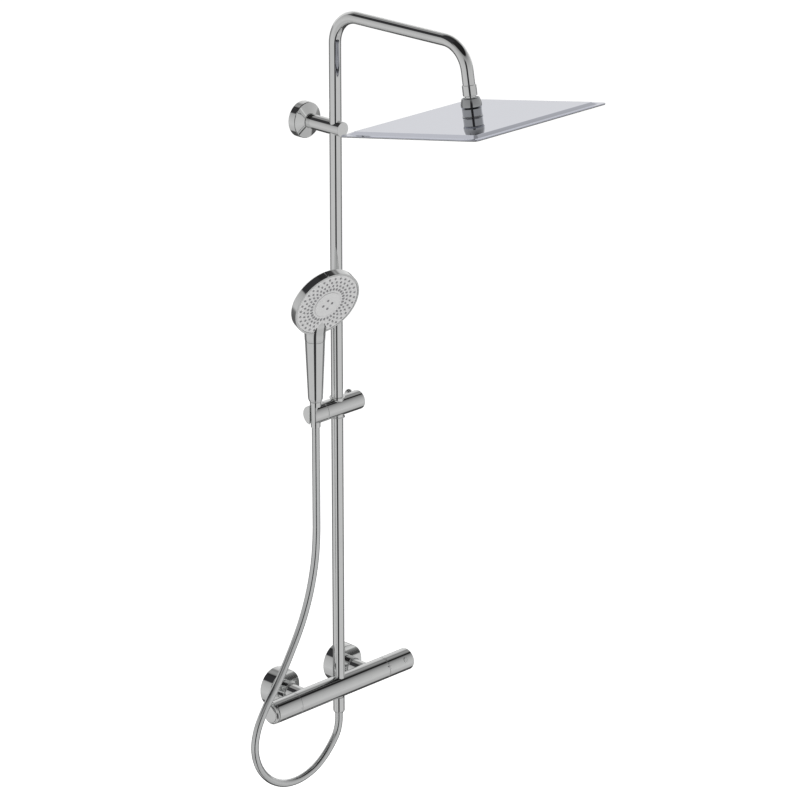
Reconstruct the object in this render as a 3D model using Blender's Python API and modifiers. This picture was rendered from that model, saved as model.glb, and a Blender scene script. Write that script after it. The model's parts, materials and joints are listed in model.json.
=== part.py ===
"""Rainfall shower column: thermostatic bar mixer, riser, fixed arm with a square head, and a hand shower.

Metres, +Z up, +X to the right of someone facing the wall, +Y into the wall. The origin lies on the
wall's face, midway between the two water inlets. Every moving piece hangs from an empty on its axis.
"""
import math

import bmesh
import bpy
from mathutils import Matrix, Vector

# ---------------------------------------------------------------- driving dimensions
GAP = 0.0003                     # left between pieces that touch
INLET_SPACING = 0.150            # centre to centre of the two wall inlets
COLUMN_STANDOFF = 0.079          # wall face to the axis of the mixer and the riser
BAR_RADIUS = 0.01925
SEAM_LEFT = -0.1035              # where the flow handle meets the mixer body
SEAM_RIGHT = 0.1060              # where the temperature handle meets the mixer body
FLOW_HANDLE_LENGTH = 0.0525
TEMPERATURE_HANDLE_LENGTH = 0.0590
TUBE_RADIUS = 0.0100             # riser and arm
ARM_HEIGHT = 1.180               # mixer axis to arm axis
ARM_REACH = 0.2975               # riser axis to the end of the arm
ARM_BEND = 0.050                 # bend radius on the tube's centre line
OUTLET_TILT = math.radians(10)   # the arm's outlet leans out from plumb
HEAD_SIDE = 0.300
BRACKET_DROP = 0.192             # arm axis down to the axis of the wall bracket's rod
BRACKET_FLANGE_RADIUS = 0.030
ROSETTE_RADIUS = 0.035
ROSETTE_DEPTH = 0.024
LEG_RADIUS = 0.0149
SLIDER_HEIGHT = 0.507            # mixer axis to the axis of the slider
SLIDER_RIGHT = 0.050
HOLDER_SEAM = -0.0340            # where the cone holder meets the slider body
HOLDER_LEFT = -0.0635
CONE_X = -0.0502                 # axis of the hand shower's cone
HANDSET_RADIUS = 0.0617
HANDSET_YAW = math.radians(9.2)
HANDSET_PITCH = math.radians(22.3)
HANDSET_FORWARD = 0.0363         # handle axis to the centre of the spray face, level
HANDSET_RISE = 0.2002            # slider axis to the centre of the spray face
HANDLE_SEAM_RISE = 0.1282        # slider axis to the seam between handle and neck
HOSE_RADIUS = 0.0065

# ---------------------------------------------------------------- sizes that follow from them
BRACKET_HEIGHT = ARM_HEIGHT - BRACKET_DROP
BRACKET_ROD_RADIUS = TUBE_RADIUS + 0.00235
TUBE_WALL = 0.0010
TUBE_JOINT = BRACKET_HEIGHT - 0.003      # riser and arm meet inside the bracket's rod
BUSH_RADIUS = TUBE_RADIUS + 0.0014
SLIDER_RADIUS = BUSH_RADIUS + 0.0049
CARTRIDGE_RADIUS = BAR_RADIUS - 0.00625
NECK_RADIUS = TUBE_RADIUS - TUBE_WALL - 0.0004   # stem between the arm and the ball
BALL_RADIUS = NECK_RADIUS + 0.0034

# ---------------------------------------------------------------- mixer's smaller sizes
HANDLE_WALL = 0.0035
CARTRIDGE_DEPTH = 0.0420
WATERWAY_RADIUS = 0.0080
SPINDLE_RADIUS = 0.0050
SPINDLE_REACH = 0.0300           # how far a spindle stands out of its cartridge
BOSS_RADIUS = 0.0085
BUTTON_RADIUS = 0.0040
BUTTON_REACH = 0.0008            # how far the safety button stands proud
BUTTON_TRAVEL = 0.0015
BUTTON_AT = 0.0390               # from the seam along the temperature handle
BUTTON_LIFT = math.radians(27)   # button's direction above level, towards the room
SOCKET_FLOOR = 0.0105            # mixer axis to the floor of the riser's socket
LEG_FACE = 0.0318                # wall face to the end of an inlet leg
VALVE_RADIUS = 0.0108
VALVE_SEAT_DEPTH = 0.0180
SPIGOT_RADIUS = 0.0080
OUTLET_NUT_FOOT = -0.0475        # foot of the hose nut, from the mixer's axis

# ---------------------------------------------------------------- slider's and holder's smaller sizes
AXLE_RADIUS = 0.0035
KNOB_LEAN = math.radians(40)     # clamp knob's direction above level, towards the wall
KNOB_X = 0.0400
KNOB_RADIUS = 0.0064
CONE_TOP_RADIUS = 0.0095
CONE_FOOT_RADIUS = 0.0080
CONE_FOOT_DROP = 0.0230          # slider axis down to the foot of the cone nut
CONE_TOP_RISE = 0.0218
SLOT_WIDTH = 0.0140
SLOT_TURN = math.radians(25)     # slot's direction from the holder's end, towards the room

# ---------------------------------------------------------------- hand shower's smaller sizes
HANDLE_RADIUS_LOW = 0.0124
HANDLE_RADIUS_HIGH = 0.0167
HANDSET_DEPTH = 0.0162
RIM_WIDTH = 0.0032
CHAMBER_RADIUS = HANDSET_RADIUS - 0.0062
NOZZLE_RINGS = (0.50, 0.615, 0.73, 0.85)   # shares of the head's radius
NOZZLES_PER_RING = 18
NOZZLE_CLEAR_OF_NECK = 0.0025

# ---------------------------------------------------------------- rain head's and its joint's smaller sizes
OUTLET_STRAIGHT = 0.0220         # plain tube between the front bend and the ring nut
TUBE_IN_NUT = 0.0090
BALL_DROP = 0.0320               # end of the arm to the ball's centre
HEAD_DROP = 0.0505               # end of the arm to the head's flat top
HEAD_CORNER = 0.009
HEAD_RIM = 0.0013                # thickness of the head's cover at its edge
HEAD_BORDER = 0.009              # flat border, then a slope up to the raised top
HEAD_SLOPE = 0.008
HEAD_RAISE = 0.0042
SPRAY_PLATE = 0.0010
NOZZLES_PER_SIDE = 6
NOZZLE_PITCH = 0.044

# Hose centre line: x and z in the plane of the mixer and the riser, from under the cone nut to the outlet nut.
# Heights above the mixer's axis were drawn for a slider at HOSE_DRAWN_FOR and stretch with it.
HOSE_DRAWN_FOR = 0.507
HOSE_ROUTE = [
    (-0.0502, 0.4450), (-0.0502, 0.4000), (-0.0502, 0.3450), (-0.0505, 0.2950),
    (-0.0540, 0.2520), (-0.0620, 0.2120), (-0.0735, 0.1750), (-0.0900, 0.1370), (-0.1130, 0.0970),
    (-0.1420, 0.0530), (-0.1720, 0.0150), (-0.1920, -0.0200), (-0.1985, -0.0550), (-0.1890, -0.0900),
    (-0.1660, -0.1190), (-0.1340, -0.1375), (-0.0980, -0.1425), (-0.0620, -0.1345), (-0.0330, -0.1160),
    (-0.0095, -0.0900), (-0.0012, -0.0690),
]
HOSE_POINTS = 50

UP = Vector((0, 0, 1))
RIGHT = Vector((1, 0, 0))
TO_WALL = Vector((0, 1, 0))
AXIS_Y = -COLUMN_STANDOFF
OUTLET_END = Vector((0, AXIS_Y - ARM_REACH,
                     ARM_HEIGHT - ARM_BEND * (1 - math.sin(OUTLET_TILT)) - OUTLET_STRAIGHT * math.cos(OUTLET_TILT)))

# finish: colour, roughness, metallic
CHROME = ((0.78, 0.79, 0.80), 0.08, 1.0)
BRASS = ((0.70, 0.55, 0.30), 0.35, 1.0)
STEEL = ((0.55, 0.56, 0.57), 0.30, 1.0)
MIRROR = ((0.82, 0.84, 0.88), 0.03, 1.0)
GREY_PLASTIC = ((0.62, 0.63, 0.63), 0.45, 0.0)
DARK_PLASTIC = ((0.06, 0.06, 0.065), 0.50, 0.0)
RUBBER = ((0.25, 0.26, 0.27), 0.75, 0.0)
WHITE_PLASTIC = ((0.85, 0.85, 0.83), 0.45, 0.0)


# ---------------------------------------------------------------- helpers
def clear_scene():
    for obj in list(bpy.data.objects):
        bpy.data.objects.remove(obj, do_unlink=True)


def collection(name):
    made = bpy.data.collections.new(name)
    bpy.context.scene.collection.children.link(made)
    return made


clear_scene()
PARTS = collection("rainfall_shower_column")
CUTTERS = collection("cutters")


def material(name, finish):
    colour, roughness, metallic = finish
    made = bpy.data.materials.new(name)
    made.use_nodes = True
    shader = made.node_tree.nodes["Principled BSDF"]
    shader.inputs["Base Color"].default_value = (*colour, 1.0)
    shader.inputs["Roughness"].default_value = roughness
    shader.inputs["Metallic"].default_value = metallic
    return made


def facing(direction):
    """The shortest turn that takes local Z to direction."""
    return UP.rotation_difference(Vector(direction))


def empty(name, at, direction=UP, parent=None):
    """A joint's frame: its local Z runs along direction."""
    made = bpy.data.objects.new(name, None)
    PARTS.objects.link(made)
    made.parent = parent
    made.location = at
    made.rotation_euler = facing(direction).to_euler()
    return made


def add(name, data, finish, at=(0, 0, 0), direction=UP, parent=None):
    """Puts data into the model as a part, or as a hidden cutter if it has no finish."""
    made = bpy.data.objects.new(name, data)
    made.parent = parent
    made.location = at
    made.rotation_euler = facing(direction).to_euler()
    if finish is None:
        CUTTERS.objects.link(made)
        made.hide_render = True
        made.display_type = 'WIRE'
    else:
        PARTS.objects.link(made)
        data.materials.append(material(name, finish))
    return made


def turned(name, profile, finish, steps=20, ring=False, **place):
    """Turns (radius, height) points round local Z; they run down the outer side, and up the bore of a ring."""
    count = len(profile)
    edges = [(i, i + 1) for i in range(count - 1)]
    if ring:
        edges.append((count - 1, 0))
    mesh = bpy.data.meshes.new(name)
    mesh.from_pydata([(radius, 0, height) for radius, height in profile], edges, [])
    made = add(name, mesh, finish, **place)
    screw = made.modifiers.new("turn", 'SCREW')
    screw.axis = 'Z'
    screw.angle = 2 * math.pi
    screw.steps = screw.render_steps = steps
    screw.use_merge_vertices = True
    screw.merge_threshold = 0.00001
    screw.use_smooth_shade = True
    return made


def rod(radius, low, high, edge=0.0):
    """Profile of a solid cylinder with bevelled edges."""
    if not edge:
        return [(0, high), (radius, high), (radius, low), (0, low)]
    return [(0, high), (radius - edge, high), (radius, high - edge),
            (radius, low + edge), (radius - edge, low), (0, low)]


def sleeve(outer, inner, low, high, edge=0.0):
    """Profile of a tube with bevelled outer edges."""
    if not edge:
        return [(inner, high), (outer, high), (outer, low), (inner, low)]
    return [(inner, high), (outer - edge, high), (outer, high - edge),
            (outer, low + edge), (outer - edge, low), (inner, low)]


def boolean(target, tool, operation='DIFFERENCE'):
    made = target.modifiers.new(operation.lower(), 'BOOLEAN')
    made.operation = operation
    made.solver = 'EXACT'
    made.object = tool


def bore(target, name, radius, low, high, steps=16, **place):
    boolean(target, turned(name, rod(radius, low, high), None, steps=steps, **place))


def box(name, size, finish, **place):
    mesh = bpy.data.meshes.new(name)
    shape = bmesh.new()
    bmesh.ops.create_cube(shape, size=1.0)
    bmesh.ops.scale(shape, vec=size, verts=shape.verts)
    shape.to_mesh(mesh)
    shape.free()
    return add(name, mesh, finish, **place)


def line_curve(name, points, radius, resolution, caps=True, radii=None):
    curve = bpy.data.curves.new(name, 'CURVE')
    curve.dimensions = '3D'
    curve.bevel_depth = radius
    curve.bevel_resolution = resolution
    curve.use_fill_caps = caps
    spline = curve.splines.new('POLY')
    spline.points.add(len(points) - 1)
    for index, (point, at) in enumerate(zip(spline.points, points)):
        point.co = (*at, 1.0)
        point.radius = radii[index] if radii else 1.0
    return curve


def curve_mesh(name, points, radius, resolution, caps=True, radii=None):
    """A swept tube as a mesh with welded caps, for pieces that are cut or hollowed."""
    curve = line_curve(name + "_line", points, radius, resolution, caps, radii)
    holder = bpy.data.objects.new(name + "_line", curve)
    bpy.context.scene.collection.objects.link(holder)
    graph = bpy.context.evaluated_depsgraph_get()
    mesh = bpy.data.meshes.new_from_object(holder.evaluated_get(graph))
    bpy.data.objects.remove(holder)
    bpy.data.curves.remove(curve)
    mesh.name = name
    mesh.materials.clear()
    shape = bmesh.new()
    shape.from_mesh(mesh)
    bmesh.ops.remove_doubles(shape, verts=shape.verts, dist=0.00001)
    bmesh.ops.recalc_face_normals(shape, faces=shape.faces)
    shape.to_mesh(mesh)
    shape.free()
    return mesh


def smooth_through(points, count):
    """Evenly spread points on a Catmull-Rom curve through the given ones."""
    ends = [2 * points[0] - points[1]] + points + [2 * points[-1] - points[-2]]
    fine = []
    for a, b, c, d in zip(ends, ends[1:], ends[2:], ends[3:]):
        for step in range(24):
            t = step / 24
            fine.append(0.5 * ((2 * b) + (c - a) * t + (2 * a - 5 * b + 4 * c - d) * t ** 2
                               + (3 * b - a - 3 * c + d) * t ** 3))
    fine.append(points[-1])
    travelled = [0.0]
    for before, after in zip(fine, fine[1:]):
        travelled.append(travelled[-1] + (after - before).length)
    spread, index = [], 0
    for step in range(count):
        target = travelled[-1] * step / (count - 1)
        while index < len(fine) - 2 and travelled[index + 1] < target:
            index += 1
        part = (target - travelled[index]) / (travelled[index + 1] - travelled[index])
        spread.append(fine[index].lerp(fine[index + 1], min(max(part, 0.0), 1.0)))
    return spread


# ---------------------------------------------------------------- mixer
def make_mixer_body():
    """Brass body with a bore for a cartridge at each end, two inlet legs, a riser socket and a hose outlet."""
    body = turned("mixer_body", rod(BAR_RADIUS, SEAM_LEFT, SEAM_RIGHT, 0.0005), CHROME, steps=24,
                  at=(0, AXIS_Y, 0), direction=RIGHT)
    reach = COLUMN_STANDOFF - LEG_FACE
    ends = (("left", -INLET_SPACING / 2), ("right", INLET_SPACING / 2))
    for side, x in ends:
        boolean(body, turned("leg_" + side, rod(LEG_RADIUS, 0, reach), None, at=(x, AXIS_Y, 0),
                             direction=TO_WALL), 'UNION')
    for side, seam, outward in (("left", SEAM_LEFT, -RIGHT), ("right", SEAM_RIGHT, RIGHT)):
        bore(body, "cartridge_bore_" + side, CARTRIDGE_RADIUS + GAP, -CARTRIDGE_DEPTH, 0.01, steps=20,
             at=(seam, AXIS_Y, 0), direction=outward)
    bore(body, "waterway", WATERWAY_RADIUS, SEAM_LEFT + CARTRIDGE_DEPTH - 0.001, SEAM_RIGHT - CARTRIDGE_DEPTH + 0.001,
         at=(0, AXIS_Y, 0), direction=RIGHT)
    seat = reach - VALVE_SEAT_DEPTH
    valve = VALVE_RADIUS + GAP
    for side, x in ends:
        stepped = [(0, reach + 0.01), (valve, reach + 0.01), (valve, seat), (0.0050, seat), (0.0050, 0), (0, 0)]
        boolean(body, turned("valve_bore_" + side, stepped, None, steps=18, at=(x, AXIS_Y, 0), direction=TO_WALL))
    top = BAR_RADIUS + 0.01
    for name, wide, narrow, way in (("riser_socket", TUBE_RADIUS + GAP, 0.0060, UP),
                                    ("outlet_socket", SPIGOT_RADIUS + GAP, 0.0045, -UP)):
        stepped = [(0, top), (wide, top), (wide, SOCKET_FLOOR), (narrow, SOCKET_FLOOR), (narrow, 0), (0, 0)]
        boolean(body, turned(name, stepped, None, steps=18, at=(0, AXIS_Y, 0), direction=way))


def make_cartridge(name, seam, outward):
    """Ceramic cartridge with a nut, in the body's end bore; outward is the way its spindle leaves."""
    depth = CARTRIDGE_DEPTH - GAP
    profile = [
        (0, -GAP), (CARTRIDGE_RADIUS - 0.0035, -GAP), (CARTRIDGE_RADIUS - 0.0030, -0.0015),
        (CARTRIDGE_RADIUS, -0.0015), (CARTRIDGE_RADIUS, -0.0110), (CARTRIDGE_RADIUS - 0.0010, -0.0115),
        (CARTRIDGE_RADIUS - 0.0010, -0.0135), (CARTRIDGE_RADIUS, -0.0140), (CARTRIDGE_RADIUS, -depth + 0.001),
        (CARTRIDGE_RADIUS - 0.001, -depth), (0, -depth),
    ]
    turned(name, profile, BRASS, steps=16, at=(seam, AXIS_Y, 0), direction=outward)


def handle_profile(length, edge):
    """A cup that is open towards the mixer body, with a boss for the spindle."""
    cavity = BAR_RADIUS - HANDLE_WALL
    floor = length - 0.0070
    return [
        (0, length), (BAR_RADIUS - edge, length), (BAR_RADIUS - edge * 0.3, length - edge * 0.3),
        (BAR_RADIUS, length - edge), (BAR_RADIUS, GAP + 0.0005), (BAR_RADIUS - 0.0005, GAP), (cavity, GAP),
        (cavity, floor), (BOSS_RADIUS, floor), (BOSS_RADIUS, 0.0060),
        (SPINDLE_RADIUS + GAP, 0.0060), (SPINDLE_RADIUS + GAP, SPINDLE_REACH + GAP), (0, SPINDLE_REACH + GAP),
    ]


def spindle_profile():
    """Round shaft with a flat-ended tip and a groove for its circlip."""
    return [
        (0, SPINDLE_REACH), (SPINDLE_RADIUS - 0.0006, SPINDLE_REACH), (SPINDLE_RADIUS, SPINDLE_REACH - 0.0006),
        (SPINDLE_RADIUS, 0.0048), (SPINDLE_RADIUS - 0.0006, 0.0048), (SPINDLE_RADIUS - 0.0006, 0.0036),
        (SPINDLE_RADIUS, 0.0036), (SPINDLE_RADIUS, 0), (0, 0),
    ]


def make_temperature_handle():
    axis = empty("temperature_axis", (SEAM_RIGHT, AXIS_Y, 0), RIGHT)
    handle = turned("temperature_handle", handle_profile(TEMPERATURE_HANDLE_LENGTH, 0.0014), CHROME,
                    steps=24, parent=axis)
    turned("temperature_spindle", spindle_profile(), STEEL, steps=12, parent=axis)
    # Local axes of the handle: Z runs to the right, so the button's direction is turned from world space.
    aim = Vector((0, -math.cos(BUTTON_LIFT), math.sin(BUTTON_LIFT)))
    root = Vector((SEAM_RIGHT + BUTTON_AT, AXIS_Y, 0))
    bore(handle, "button_hole", BUTTON_RADIUS + GAP, BOSS_RADIUS + 0.001, BAR_RADIUS + 0.01, steps=12,
         at=root, direction=aim)
    top = BAR_RADIUS + BUTTON_REACH
    foot = BOSS_RADIUS + BUTTON_TRAVEL + 0.0030
    turned("safety_button", [(0, top), (BUTTON_RADIUS - 0.0008, top), (BUTTON_RADIUS, top - 0.0008),
                             (BUTTON_RADIUS, foot), (0, foot)], DARK_PLASTIC, steps=12, at=root, direction=aim)
    low, high = BOSS_RADIUS + 0.0006, foot - 0.0006
    turns, per_turn, coil = 2, 9, 0.0024
    points = []
    for step in range(turns * per_turn + 1):
        angle = 2 * math.pi * step / per_turn
        rise = low + (high - low) * step / (turns * per_turn)
        points.append((coil * math.cos(angle), coil * math.sin(angle), rise))
    curve = line_curve("safety_button_spring", points, 0.00025, 0)
    add("safety_button_spring", curve, STEEL, at=root, direction=aim)


def make_flow_handle():
    axis = empty("flow_axis", (SEAM_LEFT, AXIS_Y, 0), -RIGHT)
    length = FLOW_HANDLE_LENGTH
    turned("flow_handle", handle_profile(length, 0.0006), CHROME, steps=24, parent=axis)
    turned("flow_spindle", spindle_profile(), STEEL, steps=12, parent=axis)
    groove, ring, mouth = length + GAP, length + 0.0021, BAR_RADIUS - 0.00405
    turned("flow_end_ring", [
        (mouth, ring + 0.0042), (mouth + 0.0013, ring + 0.0042), (BAR_RADIUS - 0.0006, ring + 0.0024),
        (BAR_RADIUS - 0.0003, ring + 0.0018), (BAR_RADIUS - 0.0003, ring), (mouth + 0.0020, ring),
        (mouth + 0.0020, groove), (mouth, groove)], CHROME, steps=24, ring=True, parent=axis)
    turned("flow_end_cap", rod(mouth - GAP, groove, ring + 0.0049, 0.0007), CHROME, steps=20, parent=axis)


def make_inlet(side, x):
    """Wall union, cover rosette, union nut, filter washer and check valve of one inlet."""
    def along(name, profile, finish, steps=20, ring=True):
        turned(name + "_" + side, profile, finish, steps=steps, ring=ring, at=(x, 0, 0), direction=-TO_WALL)

    bore_radius = 0.0075
    collar_back = ROSETTE_DEPTH + 0.0033
    along("wall_union", [
        (bore_radius, collar_back + 0.0024), (0.0144, collar_back + 0.0024), (0.0144, collar_back),
        (0.0103, collar_back), (0.0103, 0.0085), (0.0150, 0.0080), (0.0150, 0.0015), (0.0103, 0.0010),
        (0.0103, -0.0150), (0.0095, -0.0160), (bore_radius, -0.0160)], BRASS, steps=18)
    along("rosette", [
        (0.0106, ROSETTE_DEPTH), (ROSETTE_RADIUS - 0.0012, ROSETTE_DEPTH), (ROSETTE_RADIUS, ROSETTE_DEPTH - 0.0012),
        (ROSETTE_RADIUS, 0), (ROSETTE_RADIUS - 0.0015, 0), (ROSETTE_RADIUS - 0.0015, ROSETTE_DEPTH - 0.0018),
        (0.0106, ROSETTE_DEPTH - 0.0018)], CHROME, steps=24)
    nut_back, nut_front = ROSETTE_DEPTH + 0.0008, ROSETTE_DEPTH + 0.0150
    along("union_nut", [
        (LEG_RADIUS + GAP, nut_front), (0.0164, nut_front), (0.0170, nut_front - 0.0006),
        (0.0170, nut_back + 0.0006), (0.0164, nut_back), (0.0106, nut_back), (0.0106, collar_back - GAP),
        (LEG_RADIUS + GAP, collar_back - GAP)], CHROME, steps=20)
    washer_back = collar_back + 0.0024 + GAP
    along("filter_washer", sleeve(0.0143, 0.0090, washer_back, LEG_FACE - GAP), RUBBER, steps=12)
    valve_back = LEG_FACE + 0.0015
    along("check_valve", sleeve(VALVE_RADIUS, 0.0040, valve_back, valve_back + 0.0140, 0.0008),
          WHITE_PLASTIC, steps=12)


def make_outlet():
    """Spigot under the mixer, with the hose's nut and washer."""
    foot = OUTLET_NUT_FOOT
    turned("outlet_spigot", [
        (0.0050, -SOCKET_FLOOR - GAP), (SPIGOT_RADIUS, -SOCKET_FLOOR - GAP), (SPIGOT_RADIUS, -BAR_RADIUS - 0.0120),
        (0.0050, -BAR_RADIUS - 0.0120)], BRASS, steps=18, ring=True, at=(0, AXIS_Y, 0))
    washer_top = -BAR_RADIUS - 0.0120 - GAP
    turned("outlet_washer", sleeve(0.0080, 0.0050, washer_top - 0.0018, washer_top), RUBBER, steps=12,
           ring=True, at=(0, AXIS_Y, 0))
    floor = washer_top - 0.0018 - GAP
    turned("outlet_nut", [
        (SPIGOT_RADIUS + GAP, -BAR_RADIUS - GAP), (0.0095, -BAR_RADIUS - GAP), (0.0098, -BAR_RADIUS - 0.0010),
        (0.0098, foot + 0.0030), (0.0080, foot), (0.0050, foot), (0.0050, floor), (SPIGOT_RADIUS + GAP, floor)],
        CHROME, steps=20, ring=True, at=(0, AXIS_Y, 0))


# ---------------------------------------------------------------- riser, arm and wall bracket
def make_riser():
    inner = TUBE_RADIUS - TUBE_WALL
    turned("riser_tube", sleeve(TUBE_RADIUS, inner, SOCKET_FLOOR + GAP, TUBE_JOINT), CHROME, steps=20, ring=True,
           at=(0, AXIS_Y, 0))
    turned("tube_coupling", [
        (0.0060, TUBE_JOINT + 0.030), (0.0082, TUBE_JOINT + 0.030), (inner - GAP, TUBE_JOINT + 0.029),
        (inner - GAP, TUBE_JOINT - 0.029), (0.0082, TUBE_JOINT - 0.030), (0.0060, TUBE_JOINT - 0.030)],
        BRASS, steps=18, ring=True, at=(0, AXIS_Y, 0))


def arm_centre_line():
    """Up the riser, a quarter bend, level towards the room, then a bend down to the tilted outlet."""
    points = [Vector((0, AXIS_Y, TUBE_JOINT + GAP)), Vector((0, AXIS_Y, ARM_HEIGHT - ARM_BEND - 0.06))]
    bend = 7
    for step in range(bend + 1):
        angle = math.pi / 2 * step / bend
        points.append(Vector((0, AXIS_Y - ARM_BEND * (1 - math.cos(angle)),
                              ARM_HEIGHT - ARM_BEND * (1 - math.sin(angle)))))
    sweep = math.pi / 2 - OUTLET_TILT
    end = OUTLET_END
    start_y = end.y + ARM_BEND * math.sin(sweep) + OUTLET_STRAIGHT * math.sin(OUTLET_TILT)
    for step in range(bend + 1):
        angle = sweep * step / bend
        points.append(Vector((0, start_y - ARM_BEND * math.sin(angle),
                              ARM_HEIGHT - ARM_BEND * (1 - math.cos(angle)))))
    down = outlet_direction()
    points.append(points[-1] + down * (OUTLET_STRAIGHT + TUBE_IN_NUT))
    return points


def outlet_direction():
    """Along the arm's outlet, down and a little towards the room."""
    return Vector((0, -math.sin(OUTLET_TILT), -math.cos(OUTLET_TILT)))


def make_arm():
    mesh = curve_mesh("shower_arm", arm_centre_line(), TUBE_RADIUS, 5, caps=False)
    arm = add("shower_arm", mesh, CHROME)
    shell = arm.modifiers.new("wall", 'SOLIDIFY')
    shell.thickness = TUBE_WALL
    shell.offset = -1


def make_bracket():
    """Wall plate and screws, the rod that the tubes pass through, and the flange that covers the plate."""
    at = (0, 0, BRACKET_HEIGHT)
    nose = COLUMN_STANDOFF + 0.0170
    flange_front = 0.0210
    rod_part = turned("bracket_rod", [
        (0, nose), (BRACKET_ROD_RADIUS - 0.0005, nose), (BRACKET_ROD_RADIUS, nose - 0.0005),
        (BRACKET_ROD_RADIUS, 0.0063), (0, 0.0063)], CHROME, steps=20, at=at, direction=-TO_WALL)
    bore(rod_part, "rod_cross_hole", TUBE_RADIUS + GAP, -0.03, 0.03, steps=20, at=(0, AXIS_Y, BRACKET_HEIGHT))
    bore(rod_part, "rod_screw_hole", 0.0023, 0, 0.0210, steps=10, at=at, direction=-TO_WALL)
    cover = turned("bracket_flange", [
        (BRACKET_ROD_RADIUS + GAP, flange_front), (BRACKET_ROD_RADIUS + 0.0012, flange_front),
        (BRACKET_FLANGE_RADIUS - 0.0010, 0.0145), (BRACKET_FLANGE_RADIUS, 0.0135),
        (BRACKET_FLANGE_RADIUS, 0), (BRACKET_FLANGE_RADIUS - 0.0015, 0), (BRACKET_FLANGE_RADIUS - 0.0015, 0.0125),
        (BRACKET_ROD_RADIUS + GAP, 0.0190)], CHROME, steps=24, ring=True, at=at, direction=-TO_WALL)
    bore(cover, "grub_hole", 0.0018, 0.020, 0.035, steps=8, at=(0, -0.0070, BRACKET_HEIGHT), direction=-UP)
    head = BRACKET_FLANGE_RADIUS - 0.0002
    turned("bracket_grub_screw", [
        (0, head - 0.0016), (0.0008, head - 0.0016), (0.0008, head), (0.0015, head), (0.0015, 0.0264), (0, 0.0264)],
        STEEL, steps=8, at=(0, -0.0070, BRACKET_HEIGHT), direction=-UP)
    plate = turned("bracket_wall_plate", [
        (0.0029, 0.0060), (0.0255, 0.0060), (0.0260, 0.0055), (0.0260, GAP), (0.0029, GAP)], STEEL, steps=20,
        ring=True, at=at, direction=-TO_WALL)
    turned("bracket_rod_screw", [
        (0, 0.0200), (0.0020, 0.0200), (0.0020, 0.0040), (0.0026, 0.0034), (0.0026, 0.0012), (0, 0.0012)],
        STEEL, steps=10, at=at, direction=-TO_WALL)
    for index, x in enumerate((-0.0190, 0.0190)):
        bore(plate, "plate_hole_%d" % index, 0.0026, -0.001, 0.008, steps=10, at=(x, 0, BRACKET_HEIGHT),
             direction=-TO_WALL)
        turned("wall_screw_%d" % (index + 1), [
            (0, 0.0086), (0.0030, 0.0084), (0.0040, 0.0063), (0.0023, 0.0063), (0.0023, GAP), (0, GAP)], STEEL, steps=8, at=(x, 0, BRACKET_HEIGHT), direction=-TO_WALL)


# ---------------------------------------------------------------- slider and cone holder
def make_slider():
    level = (0, AXIS_Y, SLIDER_HEIGHT)
    body = turned("slider_body", rod(SLIDER_RADIUS, HOLDER_SEAM, SLIDER_RIGHT, 0.0009), CHROME, steps=20,
                  at=level, direction=RIGHT)
    bore(body, "slider_hole", BUSH_RADIUS + GAP, -0.03, 0.03, steps=20, at=level)
    bore(body, "axle_hole", AXLE_RADIUS + GAP, HOLDER_SEAM - 0.001, -0.0130, steps=12, at=level, direction=RIGHT)
    aim = Vector((0, math.cos(KNOB_LEAN), math.sin(KNOB_LEAN)))
    at = Vector((KNOB_X, AXIS_Y, SLIDER_HEIGHT))
    bore(body, "knob_hole", KNOB_RADIUS + GAP, 0.0060, 0.03, steps=12, at=at, direction=aim)
    bore(body, "shoe_hole", 0.0045 + GAP, BUSH_RADIUS - 0.001, KNOB_X, steps=12, at=level, direction=RIGHT)
    for name, sign in (("upper", 1), ("lower", -1)):
        turned("slider_bush_" + name, [
            (TUBE_RADIUS + GAP, SLIDER_RADIUS + 0.0017), (BUSH_RADIUS + 0.0011, SLIDER_RADIUS + 0.0017),
            (BUSH_RADIUS + 0.0016, SLIDER_RADIUS + 0.0012), (BUSH_RADIUS + 0.0016, SLIDER_RADIUS + GAP),
            (BUSH_RADIUS, SLIDER_RADIUS + GAP), (BUSH_RADIUS, 0.0060), (TUBE_RADIUS + GAP, 0.0060)],
            DARK_PLASTIC, steps=20, ring=True, at=level, direction=sign * UP)
    turned("brake_shoe", rod(0.0045, TUBE_RADIUS + GAP, 0.0330, 0.0004), WHITE_PLASTIC, steps=12,
           at=level, direction=RIGHT)
    knob_foot = 0.0100
    turned("clamp_knob", [
        (0, 0.0234), (0.0030, 0.0228), (0.0052, 0.0212), (KNOB_RADIUS, 0.0188), (KNOB_RADIUS, knob_foot),
        (0, knob_foot)], CHROME, steps=18, at=at, direction=aim)


def cone_radius(rise):
    """Radius of the cone nut at a height above the slider's axis."""
    share = (rise + CONE_FOOT_DROP) / (CONE_TOP_RISE + CONE_FOOT_DROP)
    return CONE_FOOT_RADIUS + (CONE_TOP_RADIUS - CONE_FOOT_RADIUS) * share


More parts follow.
